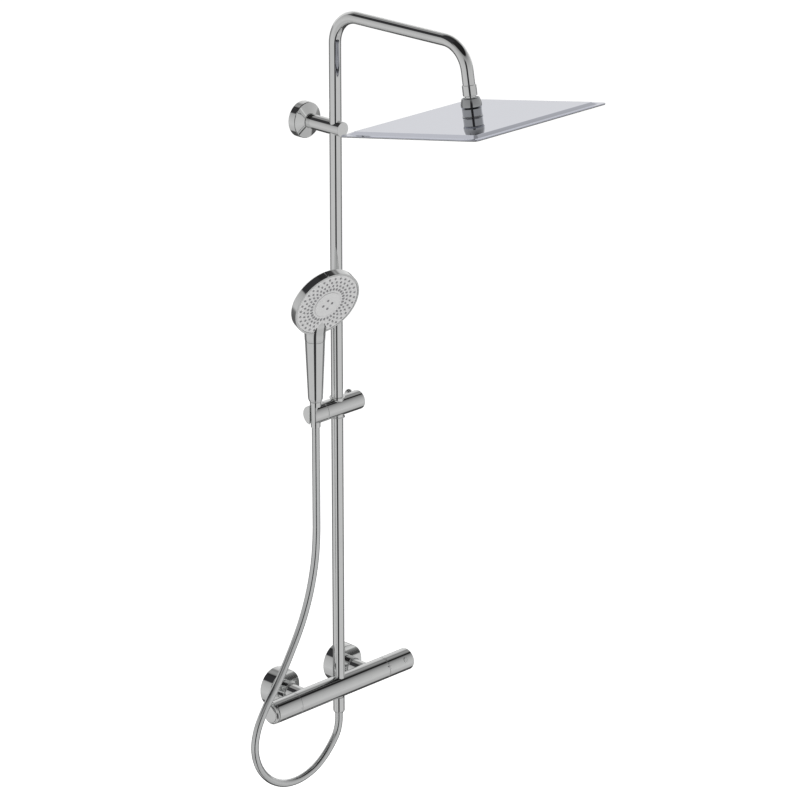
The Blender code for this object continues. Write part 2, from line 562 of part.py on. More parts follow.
def make_cone_holder():
    """End of the slider that tips on its axle; the cone drops into its bore and the hose through its slot."""
    pivot = empty("holder_axis", (0, AXIS_Y, SLIDER_HEIGHT), RIGHT)
    holder = turned("cone_holder", rod(SLIDER_RADIUS, HOLDER_LEFT, HOLDER_SEAM - GAP, 0.0009), CHROME, steps=20,
                    parent=pivot)
    reach = SLIDER_RADIUS + 0.004
    at = (CONE_X, AXIS_Y, SLIDER_HEIGHT)
    seat = turned("cone_seat", [
        (0, reach), (cone_radius(reach) + 0.00045, reach), (cone_radius(-reach) + 0.00045, -reach), (0, -reach)],
        None, steps=20, at=at)
    boolean(holder, seat)
    out = Vector((-math.cos(SLOT_TURN), -math.sin(SLOT_TURN), 0))
    slot = box("cone_slot", (0.040, SLOT_WIDTH, 2 * reach), None, at=Vector(at) + out * 0.020)
    slot.rotation_euler = (0, 0, SLOT_TURN)
    boolean(holder, slot)
    turned("holder_axle", [
        (0, -0.0145), (AXLE_RADIUS, -0.0145), (AXLE_RADIUS, HOLDER_SEAM - GAP - 0.0035),
        (0, HOLDER_SEAM - GAP - 0.0035)], STEEL, steps=12, parent=pivot)
    bore(holder, "axle_socket", AXLE_RADIUS + GAP, HOLDER_SEAM - 0.0042, HOLDER_SEAM + 0.001, steps=12,
         at=(0, AXIS_Y, SLIDER_HEIGHT), direction=RIGHT)


# ---------------------------------------------------------------- hand shower
def handset_frame():
    """Centre of the spray face, its outward direction and the level direction towards it."""
    level = Vector((-math.sin(HANDSET_YAW), -math.cos(HANDSET_YAW), 0))
    normal = level * math.cos(HANDSET_PITCH) - UP * math.sin(HANDSET_PITCH)
    centre = Vector((CONE_X, AXIS_Y, SLIDER_HEIGHT + HANDSET_RISE)) + level * HANDSET_FORWARD
    return centre, normal, level


def neck_line():
    """Centre line and radii of the neck, from the handle's seam up into the back of the head."""
    level = handset_frame()[2]
    foot = Vector((CONE_X, AXIS_Y, SLIDER_HEIGHT))
    stations = [
        (0.0000, HANDLE_SEAM_RISE + GAP, HANDLE_RADIUS_HIGH), (0.0000, 0.1330, 0.0172), (0.0003, 0.1430, 0.0176),
        (0.0016, 0.1520, 0.0178), (0.0046, 0.1610, 0.0168), (0.0086, 0.1690, 0.0138), (0.0128, 0.1760, 0.0105),
        (0.0158, 0.1803, 0.0066)]
    points = [foot + level * forward + UP * rise for forward, rise, _ in stations]
    return points, [radius for _, _, radius in stations]


def neck(name, grow, finish):
    points, radii = neck_line()
    mesh = curve_mesh(name, points, 1.0, 5, radii=[radius + grow for radius in radii])
    return add(name, mesh, finish)


def make_handset():
    centre, normal, _ = handset_frame()
    foot = Vector((CONE_X, AXIS_Y, SLIDER_HEIGHT))
    low, seam = CONE_TOP_RISE + GAP, HANDLE_SEAM_RISE
    turned("handset_handle", [
        (0.0085, seam), (HANDLE_RADIUS_HIGH - 0.0003, seam), (HANDLE_RADIUS_HIGH, seam - 0.0004),
        (HANDLE_RADIUS_LOW, low + 0.0060), (0.0113, low + 0.0026), (0.0098, low), (0.0050, low),
        (0.0050, low + 0.010), (0.0085, low + 0.012)], CHROME, steps=20, ring=True, at=foot)
    turned("hose_cone", [
        (0.0046, CONE_TOP_RISE), (CONE_TOP_RADIUS, CONE_TOP_RISE), (CONE_FOOT_RADIUS, -CONE_FOOT_DROP),
        (0.0046, -CONE_FOOT_DROP)], CHROME, steps=20, ring=True, at=foot)
    radius, depth = HANDSET_RADIUS, HANDSET_DEPTH
    body = turned("handset_body", [
        (0, -depth - 0.0012), (radius * 0.405, -depth - 0.0009), (radius * 0.78, -depth),
        (radius * 0.965, -depth + 0.0004),
        (radius - 0.0008, -depth + 0.0016), (radius, -depth + 0.0030), (radius, -0.0010), (radius - 0.0008, 0), (0, 0)],
        CHROME, steps=28, at=centre, direction=normal)
    boolean(body, neck("neck_outside", 0.0, None), 'UNION')
    chamber = turned("spray_chamber", [
        (0, 0.010), (radius - RIM_WIDTH, 0.010), (radius - RIM_WIDTH, -0.0027), (CHAMBER_RADIUS, -0.0027),
        (CHAMBER_RADIUS, -0.0110), (0, -0.0110)], None, steps=28, at=centre, direction=normal)
    boolean(chamber, neck("neck_keep", 0.0, None))
    boolean(body, chamber)
    bore(body, "handset_waterway", 0.0080, seam - 0.005, seam + 0.0300, steps=12, at=foot)
    face = turned("handset_face", rod(radius - RIM_WIDTH - GAP, -0.0024, -0.0004, 0.0004), GREY_PLASTIC, steps=28,
                  at=centre, direction=normal)
    boolean(face, neck("neck_clearance", 0.0004, None))
    boolean(face, nozzle_field("handset_nozzles", handset_nozzle_spots(centre, normal), 0.0012, 0.0009, -0.0014,
                               0.0007, 4, at=centre, direction=normal), 'UNION')
    turned("handset_centre", rod(0.0240, -0.0001, 0.0006, 0.0003), GREY_PLASTIC, steps=20, at=centre,
           direction=normal)
    turned("handset_washer", sleeve(0.0075, 0.0052, low + 0.0123, low + 0.0138), RUBBER, steps=12, ring=True, at=foot)


def nozzle_field(name, spots, foot_radius, tip_radius, foot, tip, sides, **place):
    """Upright cones at the given spots, as one hidden object to cut or join with."""
    shape = bmesh.new()
    for x, y in spots:
        bmesh.ops.create_cone(shape, cap_ends=True, segments=sides, radius1=foot_radius, radius2=tip_radius,
                              depth=tip - foot, matrix=Matrix.Translation((x, y, (tip + foot) / 2)))
    mesh = bpy.data.meshes.new(name)
    shape.to_mesh(mesh)
    shape.free()
    return add(name, mesh, None, **place)


def handset_nozzle_spots(centre, normal):
    """Rings of nozzles on the spray face, left out where the neck's tongue lies over it."""
    turn = facing(normal)
    tongue = list(zip(*neck_line()))
    spots = []
    for ring, share in enumerate(NOZZLE_RINGS):
        for index in range(NOZZLES_PER_RING):
            angle = 2 * math.pi * (index + 0.5 * (ring % 2)) / NOZZLES_PER_RING
            spot = Vector((math.cos(angle), math.sin(angle), 0)) * share * HANDSET_RADIUS
            world = centre + turn @ spot
            if min((world - point).length - radius for point, radius in tongue) > NOZZLE_CLEAR_OF_NECK:
                spots.append(spot.xy)
    return spots


# ---------------------------------------------------------------- rain head
def make_head_joint():
    """Ring nut, hollow ball stem, cap, seat and collar, all along the arm's tilted outlet."""
    down = outlet_direction()

    def along(name, profile, finish, steps=20):
        return turned(name, profile, finish, steps=steps, ring=True, at=OUTLET_END, direction=down)

    nut = TUBE_RADIUS + 0.0015
    along("arm_nut", [
        (NECK_RADIUS + GAP, 0.0170), (nut - 0.0005, 0.0170), (nut, 0.0165), (nut, 0.0005), (nut - 0.0005, 0),
        (TUBE_RADIUS + GAP, 0), (TUBE_RADIUS + GAP, TUBE_IN_NUT + GAP), (NECK_RADIUS + GAP, TUBE_IN_NUT + GAP)], CHROME)

    flat = 0.0111                # ball's centre to the flat on its underside
    first, last = math.acos(flat / BALL_RADIUS), math.pi - math.asin(NECK_RADIUS / BALL_RADIUS)
    profile = [(0.0045, BALL_DROP + flat)]
    for step in range(8):
        angle = first + (last - first) * step / 7
        profile.append((BALL_RADIUS * math.sin(angle), BALL_DROP + BALL_RADIUS * math.cos(angle)))
    profile += [(NECK_RADIUS, -0.0080), (0.0045, -0.0080)]
    along("ball_stem", profile, STEEL, steps=16)

    socket = BALL_RADIUS + GAP
    lip = BALL_RADIUS - 0.0008
    along("ball_cap", [
        (socket, 0.0367), (socket + 0.0034, 0.0367), (socket + 0.0044, 0.0340), (socket + 0.0044, 0.0300),
        (socket + 0.0021, 0.0212), (socket + 0.0015, 0.0203), (socket + 0.0005, 0.0203),
        (lip, BALL_DROP - math.sqrt(socket ** 2 - lip ** 2)), (socket - 0.0001, BALL_DROP - 0.0015)], CHROME)
    along("head_collar", [
        (0.0070, HEAD_DROP - GAP), (socket + 0.0041, HEAD_DROP - GAP), (socket + 0.0041, HEAD_DROP - 0.0012),
        (socket + 0.0034, HEAD_DROP - 0.0020), (socket + 0.0034, 0.0370), (socket + 0.0001, 0.0370),
        (socket + 0.0001, 0.0460), (0.0070, 0.0460)], CHROME)

    cup = BALL_RADIUS + 0.0006
    high, low = (Vector((cup * math.sin(angle), BALL_DROP + cup * math.cos(angle)))
                 for angle in (math.radians(62), math.radians(40)))
    seat = socket - 0.0002
    along("ball_seat", [(0.0065, 0.0455), (seat, 0.0455), (seat, high.y), high, low, (0.0065, low.y + 0.0020)],
          WHITE_PLASTIC, steps=16)


def square_sheet(shape, side, corner, low, high):
    """A flat square slab with rounded corners."""
    bmesh.ops.create_cube(shape, size=1.0)
    bmesh.ops.scale(shape, vec=(side, side, high - low), verts=shape.verts)
    bmesh.ops.translate(shape, vec=(0, 0, (high + low) / 2), verts=shape.verts)
    upright = [edge for edge in shape.edges
               if abs(edge.verts[0].co.z - edge.verts[1].co.z) > (high - low) / 2]
    bmesh.ops.bevel(shape, geom=upright, offset=corner, segments=5, profile=0.5, affect='EDGES',
                    offset_type='OFFSET')


def square_frustum(shape, low_side, high_side, low, high):
    """A four-sided slab that narrows upwards, square to the head."""
    bmesh.ops.create_cone(shape, cap_ends=True, segments=4, radius1=low_side / math.sqrt(2),
                          radius2=high_side / math.sqrt(2), depth=high - low,
                          matrix=Matrix.Translation((0, 0, (low + high) / 2)) @ Matrix.Rotation(math.pi / 4, 4, 'Z'))


def make_head():
    """Square cover with a sloped border round a raised top, and the spray plate under it."""
    down = outlet_direction()
    up = -down
    edge_top = OUTLET_END + down * (HEAD_DROP + HEAD_RAISE)
    turn = Matrix((RIGHT, up.cross(RIGHT), up)).transposed().to_4x4()

    def place(name, shape, finish):
        mesh = bpy.data.meshes.new(name)
        bmesh.ops.recalc_face_normals(shape, faces=shape.faces)
        shape.to_mesh(mesh)
        shape.free()
        made = add(name, mesh, finish)
        made.matrix_world = Matrix.Translation(edge_top) @ turn
        return made

    foot_side = HEAD_SIDE - 2 * HEAD_BORDER
    top_side = foot_side - 2 * HEAD_SLOPE
    shape = bmesh.new()
    square_sheet(shape, HEAD_SIDE, HEAD_CORNER, -HEAD_RIM, 0)
    cover = place("head_cover", shape, MIRROR)
    for name, shrink, low, high, operation in (
            ("head_raised_top", 0.0, -HEAD_RIM / 2, HEAD_RAISE, 'UNION'),
            ("head_chamber", 0.0020, -HEAD_RIM - 0.001, HEAD_RAISE - HEAD_RIM, 'DIFFERENCE')):
        shape = bmesh.new()
        widen = 2 * HEAD_SLOPE * (0 - low) / HEAD_RAISE
        narrow = 2 * HEAD_SLOPE * (HEAD_RAISE - high) / HEAD_RAISE
        square_frustum(shape, foot_side + widen - 2 * shrink, top_side + narrow - 2 * shrink, low, high)
        boolean(cover, place(name, shape, None), operation)
    bore(cover, "head_inlet", 0.0070, HEAD_DROP - 0.002, HEAD_DROP + 0.003, at=OUTLET_END, direction=down)

    shape = bmesh.new()
    plate_top = -HEAD_RIM - GAP
    square_sheet(shape, HEAD_SIDE - 0.0010, HEAD_CORNER - 0.0005, plate_top - SPRAY_PLATE, plate_top)
    plate = place("head_spray_plate", shape, STEEL)
    half = (NOZZLES_PER_SIDE - 1) / 2
    spots = [((column - half) * NOZZLE_PITCH, (row - half) * NOZZLE_PITCH)
             for row in range(NOZZLES_PER_SIDE) for column in range(NOZZLES_PER_SIDE)]
    tips = nozzle_field("head_nozzles", spots, 0.0014, 0.0021, plate_top - SPRAY_PLATE - 0.0022,
                        plate_top - SPRAY_PLATE / 2, 4)
    tips.matrix_world = plate.matrix_world
    boolean(plate, tips, 'UNION')


# ---------------------------------------------------------------- hose
def make_hose():
    stretch = SLIDER_HEIGHT / HOSE_DRAWN_FOR
    route = [Vector((CONE_X, AXIS_Y, SLIDER_HEIGHT - CONE_FOOT_DROP - GAP))]
    route += [Vector((x, AXIS_Y, z * stretch if z > 0 else z)) for x, z in HOSE_ROUTE]
    route.append(Vector((0, AXIS_Y, OUTLET_NUT_FOOT - 0.0005)))
    curve = line_curve("shower_hose", smooth_through(route, HOSE_POINTS), HOSE_RADIUS, 2)
    add("shower_hose", curve, CHROME)


make_mixer_body()
make_cartridge("flow_cartridge", SEAM_LEFT, -RIGHT)
make_cartridge("thermostat_cartridge", SEAM_RIGHT, RIGHT)
make_flow_handle()
make_temperature_handle()
make_inlet("left", -INLET_SPACING / 2)
make_inlet("right", INLET_SPACING / 2)
make_outlet()
make_riser()
make_arm()
make_bracket()
make_slider()
make_cone_holder()
make_handset()
make_head_joint()
make_head()
make_hose()
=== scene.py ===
# %% [markdown]
# # A rainfall shower column
# The model's working parts come in as a fixed frame, already in place and in metres: +Z is up, +Y goes into
# the wall, and the origin is on the wall between the two water inlets. This script gives each piece that
# shows a fine surface and a finish. It never moves a part: every new piece takes its place from the frame.

# %% Load the frame
import json
import math

import bmesh
import bpy
from mathutils import Matrix, Vector

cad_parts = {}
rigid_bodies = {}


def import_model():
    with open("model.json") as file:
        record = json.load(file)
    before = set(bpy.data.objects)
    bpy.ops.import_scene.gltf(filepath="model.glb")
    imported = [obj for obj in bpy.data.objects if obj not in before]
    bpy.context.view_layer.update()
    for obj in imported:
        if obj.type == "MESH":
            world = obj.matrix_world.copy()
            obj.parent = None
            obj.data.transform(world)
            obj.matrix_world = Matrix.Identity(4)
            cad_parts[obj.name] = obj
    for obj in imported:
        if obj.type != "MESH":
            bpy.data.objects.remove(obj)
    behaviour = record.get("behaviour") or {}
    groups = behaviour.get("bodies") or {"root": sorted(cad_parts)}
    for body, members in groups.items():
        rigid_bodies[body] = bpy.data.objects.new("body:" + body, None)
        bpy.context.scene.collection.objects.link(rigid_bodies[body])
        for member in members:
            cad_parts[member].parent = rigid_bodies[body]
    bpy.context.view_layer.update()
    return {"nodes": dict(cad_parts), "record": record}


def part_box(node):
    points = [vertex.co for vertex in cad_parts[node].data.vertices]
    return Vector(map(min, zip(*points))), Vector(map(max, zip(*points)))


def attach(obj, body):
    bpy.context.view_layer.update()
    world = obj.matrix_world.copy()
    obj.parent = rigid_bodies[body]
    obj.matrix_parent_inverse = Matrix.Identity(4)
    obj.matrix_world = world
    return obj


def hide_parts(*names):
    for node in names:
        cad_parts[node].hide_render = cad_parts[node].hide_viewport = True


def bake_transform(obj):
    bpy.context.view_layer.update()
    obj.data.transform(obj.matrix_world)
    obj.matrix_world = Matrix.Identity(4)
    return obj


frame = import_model()
record = frame["record"]
body_of = {node: body for body, nodes in record["behaviour"]["bodies"].items() for node in nodes}
slot_of = {part["node"]: part["material_slot"] for part in record["subparts"]}

# %% [markdown]
# ## The camera
# A long lens from far away gives the flat perspective of a catalogue picture. The camera is placed by the
# angle it looks from and the point it looks at, which are easier to change than a position and a rotation.

# %% Place the camera
CAMERA_AZIMUTH = math.radians(45.566)
CAMERA_ELEVATION = math.radians(19.797)
CAMERA_ROLL = math.radians(-0.026)
CAMERA_TARGET = Vector((0.0648, -0.1618, 0.5226))
CAMERA_DISTANCE = 6.650
CAMERA_LENS_MM = 180.38

looking = Vector((math.sin(CAMERA_AZIMUTH) * math.cos(CAMERA_ELEVATION),
                  math.cos(CAMERA_AZIMUTH) * math.cos(CAMERA_ELEVATION), -math.sin(CAMERA_ELEVATION)))
camera = bpy.data.objects.new("camera", bpy.data.cameras.new("camera"))
bpy.context.scene.collection.objects.link(camera)
camera.data.lens = CAMERA_LENS_MM
camera.data.sensor_width = 36
camera.data.clip_end = 100
camera.location = CAMERA_TARGET - looking * CAMERA_DISTANCE
camera.rotation_mode = 'QUATERNION'
camera.rotation_quaternion = (looking.to_track_quat('-Z', 'Y').to_matrix()
                              @ Matrix.Rotation(CAMERA_ROLL, 3, 'Z')).to_quaternion()
bpy.context.scene.camera = camera
print("camera:", [round(x, 3) for x in camera.location])

# %% [markdown]
# ## Measures from the frame
# Boxes of the working parts give the axes and radii that the fine pieces share. A turned part's radius is
# half its width across its axis, so nothing here has to be typed twice.

# %% Axes and radii
UP, RIGHT, TO_WALL = Vector((0, 0, 1)), Vector((1, 0, 0)), Vector((0, 1, 0))
GAP = 0.0003                     # clearance between pieces that touch


def across(node, axis):
    """Half the width of a part along an axis, 0, 1 or 2."""
    low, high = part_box(node)
    return (high[axis] - low[axis]) / 2


def middle(node):
    low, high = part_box(node)
    return (low + high) / 2


BAR_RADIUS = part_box("mixer_body")[1].z
AXIS_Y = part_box("mixer_body")[0].y + BAR_RADIUS
SEAM_LEFT, SEAM_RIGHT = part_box("mixer_body")[0].x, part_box("mixer_body")[1].x
TUBE_RADIUS = across("riser_tube", 0)
SLIDER = Vector((0, AXIS_Y, middle("slider_body").z))
SLIDER_RADIUS = across("slider_body", 2)
BRACKET = Vector((0, 0, middle("bracket_rod").z))
CONE_FOOT = Vector((middle("hose_cone").x, AXIS_Y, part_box("hose_cone")[0].z))
print("bar radius %.4f, tube radius %.4f, slider at %.3f" % (BAR_RADIUS, TUBE_RADIUS, SLIDER.z))

# %% [markdown]
# ## Wear and waviness
# Plated and polished metal is never the same all over: wiping leaves hairlines that scatter a little light,
# and the polishing wheel leaves a faint swell in the surface. Both effects are used by many finishes, so
# each is a node group with its own values in every material.

# %% Node groups for all finishes
WEAR_SCALE, HAIRLINE_SCALE, HAIRLINE_STRETCH = 60.0, 900.0, (1, 1, 0.06)
GRAIN_SHARE = 0.25               # height of the fine grain against the broad swell


def feed(tree, socket, value):
    """Links a socket to another node's output, or sets it to a number or a tuple."""
    if isinstance(value, (int, float, tuple)):
        socket.default_value = value
    else:
        tree.links.new(value, socket)


def math_node(tree, operation, *values):
    node = tree.nodes.new('ShaderNodeMath')
    node.operation = operation
    for socket, value in zip(node.inputs, values):
        feed(tree, socket, value)
    return node.outputs[0]


def group(name, inputs, outputs):
    """An empty shader group with float inputs {name: default} and named outputs."""
    made = bpy.data.node_groups.new(name, 'ShaderNodeTree')
    for label, default in inputs.items():
        socket = made.interface.new_socket(label, in_out='INPUT', socket_type='NodeSocketFloat')
        socket.default_value = default
    for label in outputs:
        made.interface.new_socket(label, in_out='OUTPUT', socket_type='NodeSocketFloat')
    return made, made.nodes.new('NodeGroupInput'), made.nodes.new('NodeGroupOutput')


def spread(tree, value, low, high):
    """A Map Range node that takes 0..1 to low..high; low and high are sockets or numbers."""
    node = tree.nodes.new('ShaderNodeMapRange')
    for label, given in (('Value', value), ('To Min', low), ('To Max', high)):
        feed(tree, node.inputs[label], given)
    return node.outputs['Result']


def noise(tree, scale, detail, vector, stretch=(1, 1, 1)):
    """3D noise on object coordinates, stretched along an axis where the grain runs."""
    mapping = tree.nodes.new('ShaderNodeMapping')
    mapping.inputs['Scale'].default_value = stretch
    tree.links.new(vector, mapping.inputs['Vector'])
    node = tree.nodes.new('ShaderNodeTexNoise')
    for label, given in (('Vector', mapping.outputs['Vector']), ('Scale', scale), ('Detail', detail)):
        feed(tree, node.inputs[label], given)
    return node.outputs['Fac']


wiped_wear, given, result = group("wiped_wear", {"Scale": WEAR_SCALE, "Low": 0.03, "High": 0.10},
                                  ["Roughness", "Mask"])
where = wiped_wear.nodes.new('ShaderNodeTexCoord').outputs['Object']
patches = noise(wiped_wear, given.outputs["Scale"], 3.0, where)
hairlines = noise(wiped_wear, HAIRLINE_SCALE, 1.0, where, stretch=HAIRLINE_STRETCH)
both = math_node(wiped_wear, 'MULTIPLY', patches, hairlines)
wiped_wear.links.new(spread(wiped_wear, both, given.outputs["Low"], given.outputs["High"]),
                     result.inputs["Roughness"])
wiped_wear.links.new(both, result.inputs["Mask"])

polish_swell, given, result = group("polish_swell", {"Scale": 35.0, "Fine": 400.0}, ["Height"])
where = polish_swell.nodes.new('ShaderNodeTexCoord').outputs['Object']
broad = noise(polish_swell, given.outputs["Scale"], 2.0, where)
grain = noise(polish_swell, given.outputs["Fine"], 2.0, where)
polish_swell.links.new(math_node(polish_swell, 'MULTIPLY_ADD', grain, GRAIN_SHARE, broad),
                       result.inputs["Height"])
print("groups:", [g.name for g in bpy.data.node_groups])

# %% [markdown]
# ## The finishes
# Chrome is nearly colourless and takes its look from what it reflects, so its base colour is a light grey
# with full metallic. The worn places differ from the clean ones by a few hundredths of roughness and a
# slightly duller grey. Plastics and rubbers have no metallic and a fine grain.

# %% Materials
COAT_ROUGHNESS = 0.08
SWELL_DEPTH = 0.0002             # how far the swell can lift the surface, before each finish's bump


def finish(name, colour, worn, rough, metallic=0.0, swell=(35.0, 400.0), bump=0.02, coat=0.0):
    """A Principled material: colour and roughness follow wiped_wear, the surface follows polish_swell."""
    made = bpy.data.materials.new(name)
    made.use_nodes = True
    tree = made.node_tree
    shader = tree.nodes["Principled BSDF"]
    shader.inputs["Metallic"].default_value = metallic
    shader.inputs["Coat Weight"].default_value = coat
    shader.inputs["Coat Roughness"].default_value = COAT_ROUGHNESS
    wear = tree.nodes.new('ShaderNodeGroup')
    wear.node_tree = wiped_wear
    wear.inputs["Low"].default_value, wear.inputs["High"].default_value = rough
    tree.links.new(wear.outputs["Roughness"], shader.inputs["Roughness"])
    mix = tree.nodes.new('ShaderNodeMix')
    mix.data_type = 'RGBA'
    mix.inputs['A'].default_value = (*colour, 1)
    mix.inputs['B'].default_value = (*worn, 1)
    tree.links.new(wear.outputs["Mask"], mix.inputs['Factor'])
    tree.links.new(mix.outputs['Result'], shader.inputs["Base Color"])
    ripple = tree.nodes.new('ShaderNodeGroup')
    ripple.node_tree = polish_swell
    ripple.inputs["Scale"].default_value, ripple.inputs["Fine"].default_value = swell
    lift = tree.nodes.new('ShaderNodeBump')
    lift.inputs['Strength'].default_value = bump
    lift.inputs['Distance'].default_value = SWELL_DEPTH
    tree.links.new(ripple.outputs["Height"], lift.inputs['Height'])
    tree.links.new(lift.outputs['Normal'], shader.inputs["Normal"])
    return made


CHROME = finish("polished_chrome", (0.90, 0.905, 0.90), (0.80, 0.81, 0.81), (0.035, 0.085), metallic=1.0)
PLATED = finish("plated_plastic", (0.89, 0.895, 0.89), (0.79, 0.80, 0.80), (0.045, 0.10), metallic=1.0,
                swell=(55.0, 500.0), bump=0.03)
MIRROR = finish("mirror_steel", (0.81, 0.83, 0.92), (0.76, 0.78, 0.86), (0.015, 0.045), metallic=1.0,
                swell=(9.0, 160.0), bump=0.02)
JOINT_CHROME = finish("joint_chrome", (0.52, 0.53, 0.54), (0.44, 0.45, 0.46), (0.04, 0.09), metallic=1.0)
STEEL = finish("turned_steel", (0.60, 0.61, 0.62), (0.45, 0.46, 0.47), (0.22, 0.40), metallic=1.0, bump=0.06)
BRASS = finish("machined_brass", (0.74, 0.58, 0.31), (0.56, 0.42, 0.21), (0.25, 0.42), metallic=1.0,
               bump=0.06)
HOSE_SILVER = finish("hose_silver", (0.82, 0.83, 0.83), (0.70, 0.71, 0.71), (0.10, 0.20), metallic=1.0,
                     swell=(80.0, 900.0), bump=0.05, coat=0.4)
FACE_GREY = finish("satin_grey_face", (0.42, 0.42, 0.42), (0.36, 0.36, 0.36), (0.30, 0.42), coat=0.25,
                   swell=(120.0, 1500.0), bump=0.05)
NOZZLE_GREY = finish("nozzle_rubber", (0.17, 0.17, 0.175), (0.11, 0.11, 0.115), (0.50, 0.70), bump=0.10)
BLACK = finish("black_acetal", (0.035, 0.035, 0.038), (0.06, 0.06, 0.062), (0.35, 0.55), bump=0.08)
WHITE = finish("white_acetal", (0.82, 0.82, 0.80), (0.74, 0.74, 0.72), (0.35, 0.50), bump=0.06)
RUBBER = finish("washer_rubber", (0.10, 0.10, 0.105), (0.16, 0.16, 0.16), (0.60, 0.80), bump=0.15)
LOOKS = {"chrome": CHROME, "hose_chrome": HOSE_SILVER, "chromed_plastic": PLATED, "brass": BRASS,
         "steel": STEEL, "mirror_steel": MIRROR, "grey_plastic": FACE_GREY, "dark_plastic": BLACK,
         "white_plastic": WHITE, "rubber": RUBBER}
for node, part in frame["nodes"].items():
    part.data.materials.clear()
    part.data.materials.append(LOOKS[slot_of[node]])
print("materials:", len(bpy.data.materials))

# %% [markdown]
# ## Tools for turned pieces
# Most of the column is turned on a lathe or drawn as tube. The working parts have just enough sides to move
# and touch rightly, and look faceted close up. Here the same profiles get rounded corners, which catch a
# thin line of light as real edges do, and are turned in many more steps.

# %% Turning, cutting and finishing helpers
ROUND = 96                       # steps round a turned piece
SHARP_ANGLE = math.radians(38)   # faces that meet at more than this keep a hard edge
STRAIGHT_ON = math.radians(165)  # corners flatter than this get no fillet


def facing(direction):
    return UP.rotation_difference(Vector(direction))


def filleted(profile, radius, closed=False, steps=4):
    """The profile with each corner replaced by a small curve, no larger than its neighbours leave room for."""
    points = [Vector(point) for point in profile]
    count, made = len(points), []
    for i, here in enumerate(points):
        if not closed and i in (0, count - 1):
            made.append(here)
            continue
        before, after = points[i - 1] - here, points[(i + 1) % count] - here
        room = min(before.length, after.length) * 0.45
        angle = before.angle(after)
        if angle > STRAIGHT_ON or room < 1e-6:
            made.append(here)
            continue
        cut = min(radius / math.tan(angle / 2), room)
        start, end = here + before.normalized() * cut, here + after.normalized() * cut
        for step in range(steps + 1):
            t = step / steps
            made.append(start * (1 - t) ** 2 + here * (2 * t * (1 - t)) + end * t ** 2)
    return made


def apply_modifiers(piece):
    graph = bpy.context.evaluated_depsgraph_get()
    mesh = bpy.data.meshes.new_from_object(piece.evaluated_get(graph))
    piece.modifiers.clear()
    piece.data = mesh


def settle(piece):
    """Applies the modifiers, and shades smooth except across sharp edges."""
    apply_modifiers(piece)
    piece.data.shade_smooth()
    piece.data.set_sharp_from_angle(angle=SHARP_ANGLE)
    return piece


def place(name, mesh, at=(0, 0, 0), direction=UP):
    piece = bpy.data.objects.new(name, mesh)
    bpy.context.scene.collection.objects.link(piece)
    piece.location = at
    piece.rotation_mode = 'QUATERNION'
    piece.rotation_quaternion = facing(direction)
    return piece


def mesh_from(shape, name):
    """A mesh made of a bmesh, which is freed."""
    mesh = bpy.data.meshes.new(name)
    shape.to_mesh(mesh)
    shape.free()
    return mesh


def bridge(shape, rings, capped=True):
    """Joins each ring of vertices to the next by quads, and closes the first and the last."""
    for low, high in zip(rings, rings[1:]):
        for k in range(len(low)):
            after = (k + 1) % len(low)
            shape.faces.new((low[k], low[after], high[after], high[k]))
    if capped:
        shape.faces.new(rings[0][::-1])
        shape.faces.new(rings[-1])


def turned(name, profile, corner=0.0003, steps=ROUND, **where):
    """Turns (radius, height) points round local Z. A profile that starts off the axis makes a ring."""
    ring = profile[0][0] > 0
    points = filleted(profile, corner, closed=ring) if corner else [Vector(point) for point in profile]
    edges = [(i, i + 1) for i in range(len(points) - 1)] + ([(len(points) - 1, 0)] if ring else [])
    mesh = bpy.data.meshes.new(name)
    mesh.from_pydata([(max(point.x, 0.0), 0, point.y) for point in points], edges, [])
    piece = place(name, mesh, **where)
    screw = piece.modifiers.new("turn", 'SCREW')
    screw.axis = 'Z'
    screw.steps = screw.render_steps = steps
    screw.use_merge_vertices = True
    screw.merge_threshold = 0.000005
    return piece


def rod(radius, low, high):
    return [(0, high), (radius, high), (radius, low), (0, low)]


def combine(piece, tool, operation='DIFFERENCE'):
    """A Boolean that uses up its tool."""
    bpy.context.view_layer.update()
    change = piece.modifiers.new("change", 'BOOLEAN')
    change.operation, change.solver, change.object = operation, 'EXACT', tool
    settle(piece)
    bpy.data.objects.remove(tool)
    return piece


def drill(piece, radius, low, high, steps=48, **where):
    """Cuts a round hole between two heights on its own axis."""
    return combine(piece, turned("hole", rod(radius, low, high), corner=0, steps=steps, **where))


def even_shading(piece):
    """Lets big faces set the normals, so a fillet doesn't bend the reflections of the face beside it."""
    weighted = piece.modifiers.new("even", 'WEIGHTED_NORMAL')
    weighted.mode, weighted.weight, weighted.keep_sharp = 'FACE_AREA', 100, True
    apply_modifiers(piece)


def show(piece, look, *nodes, body=None):
    """Settles a piece, gives it its finish, lets it ride with its body and stand for its parts."""
    settle(piece)
    even_shading(piece)
    piece.data.materials.clear()
    piece.data.materials.append(look)
    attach(piece, body or body_of[nodes[0]])
    if nodes:
        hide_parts(*nodes)
    return piece


print("fillets in", ROUND, "steps")

# %% [markdown]
# ## The mixer's body
# A brass casting: a bar along X with two legs towards the wall. The bar is one turned rod; the legs are
# joined to it with a Boolean, and the bores for the cartridges, the riser and the outlet are cut afterwards,
# so the parts inside have their room.

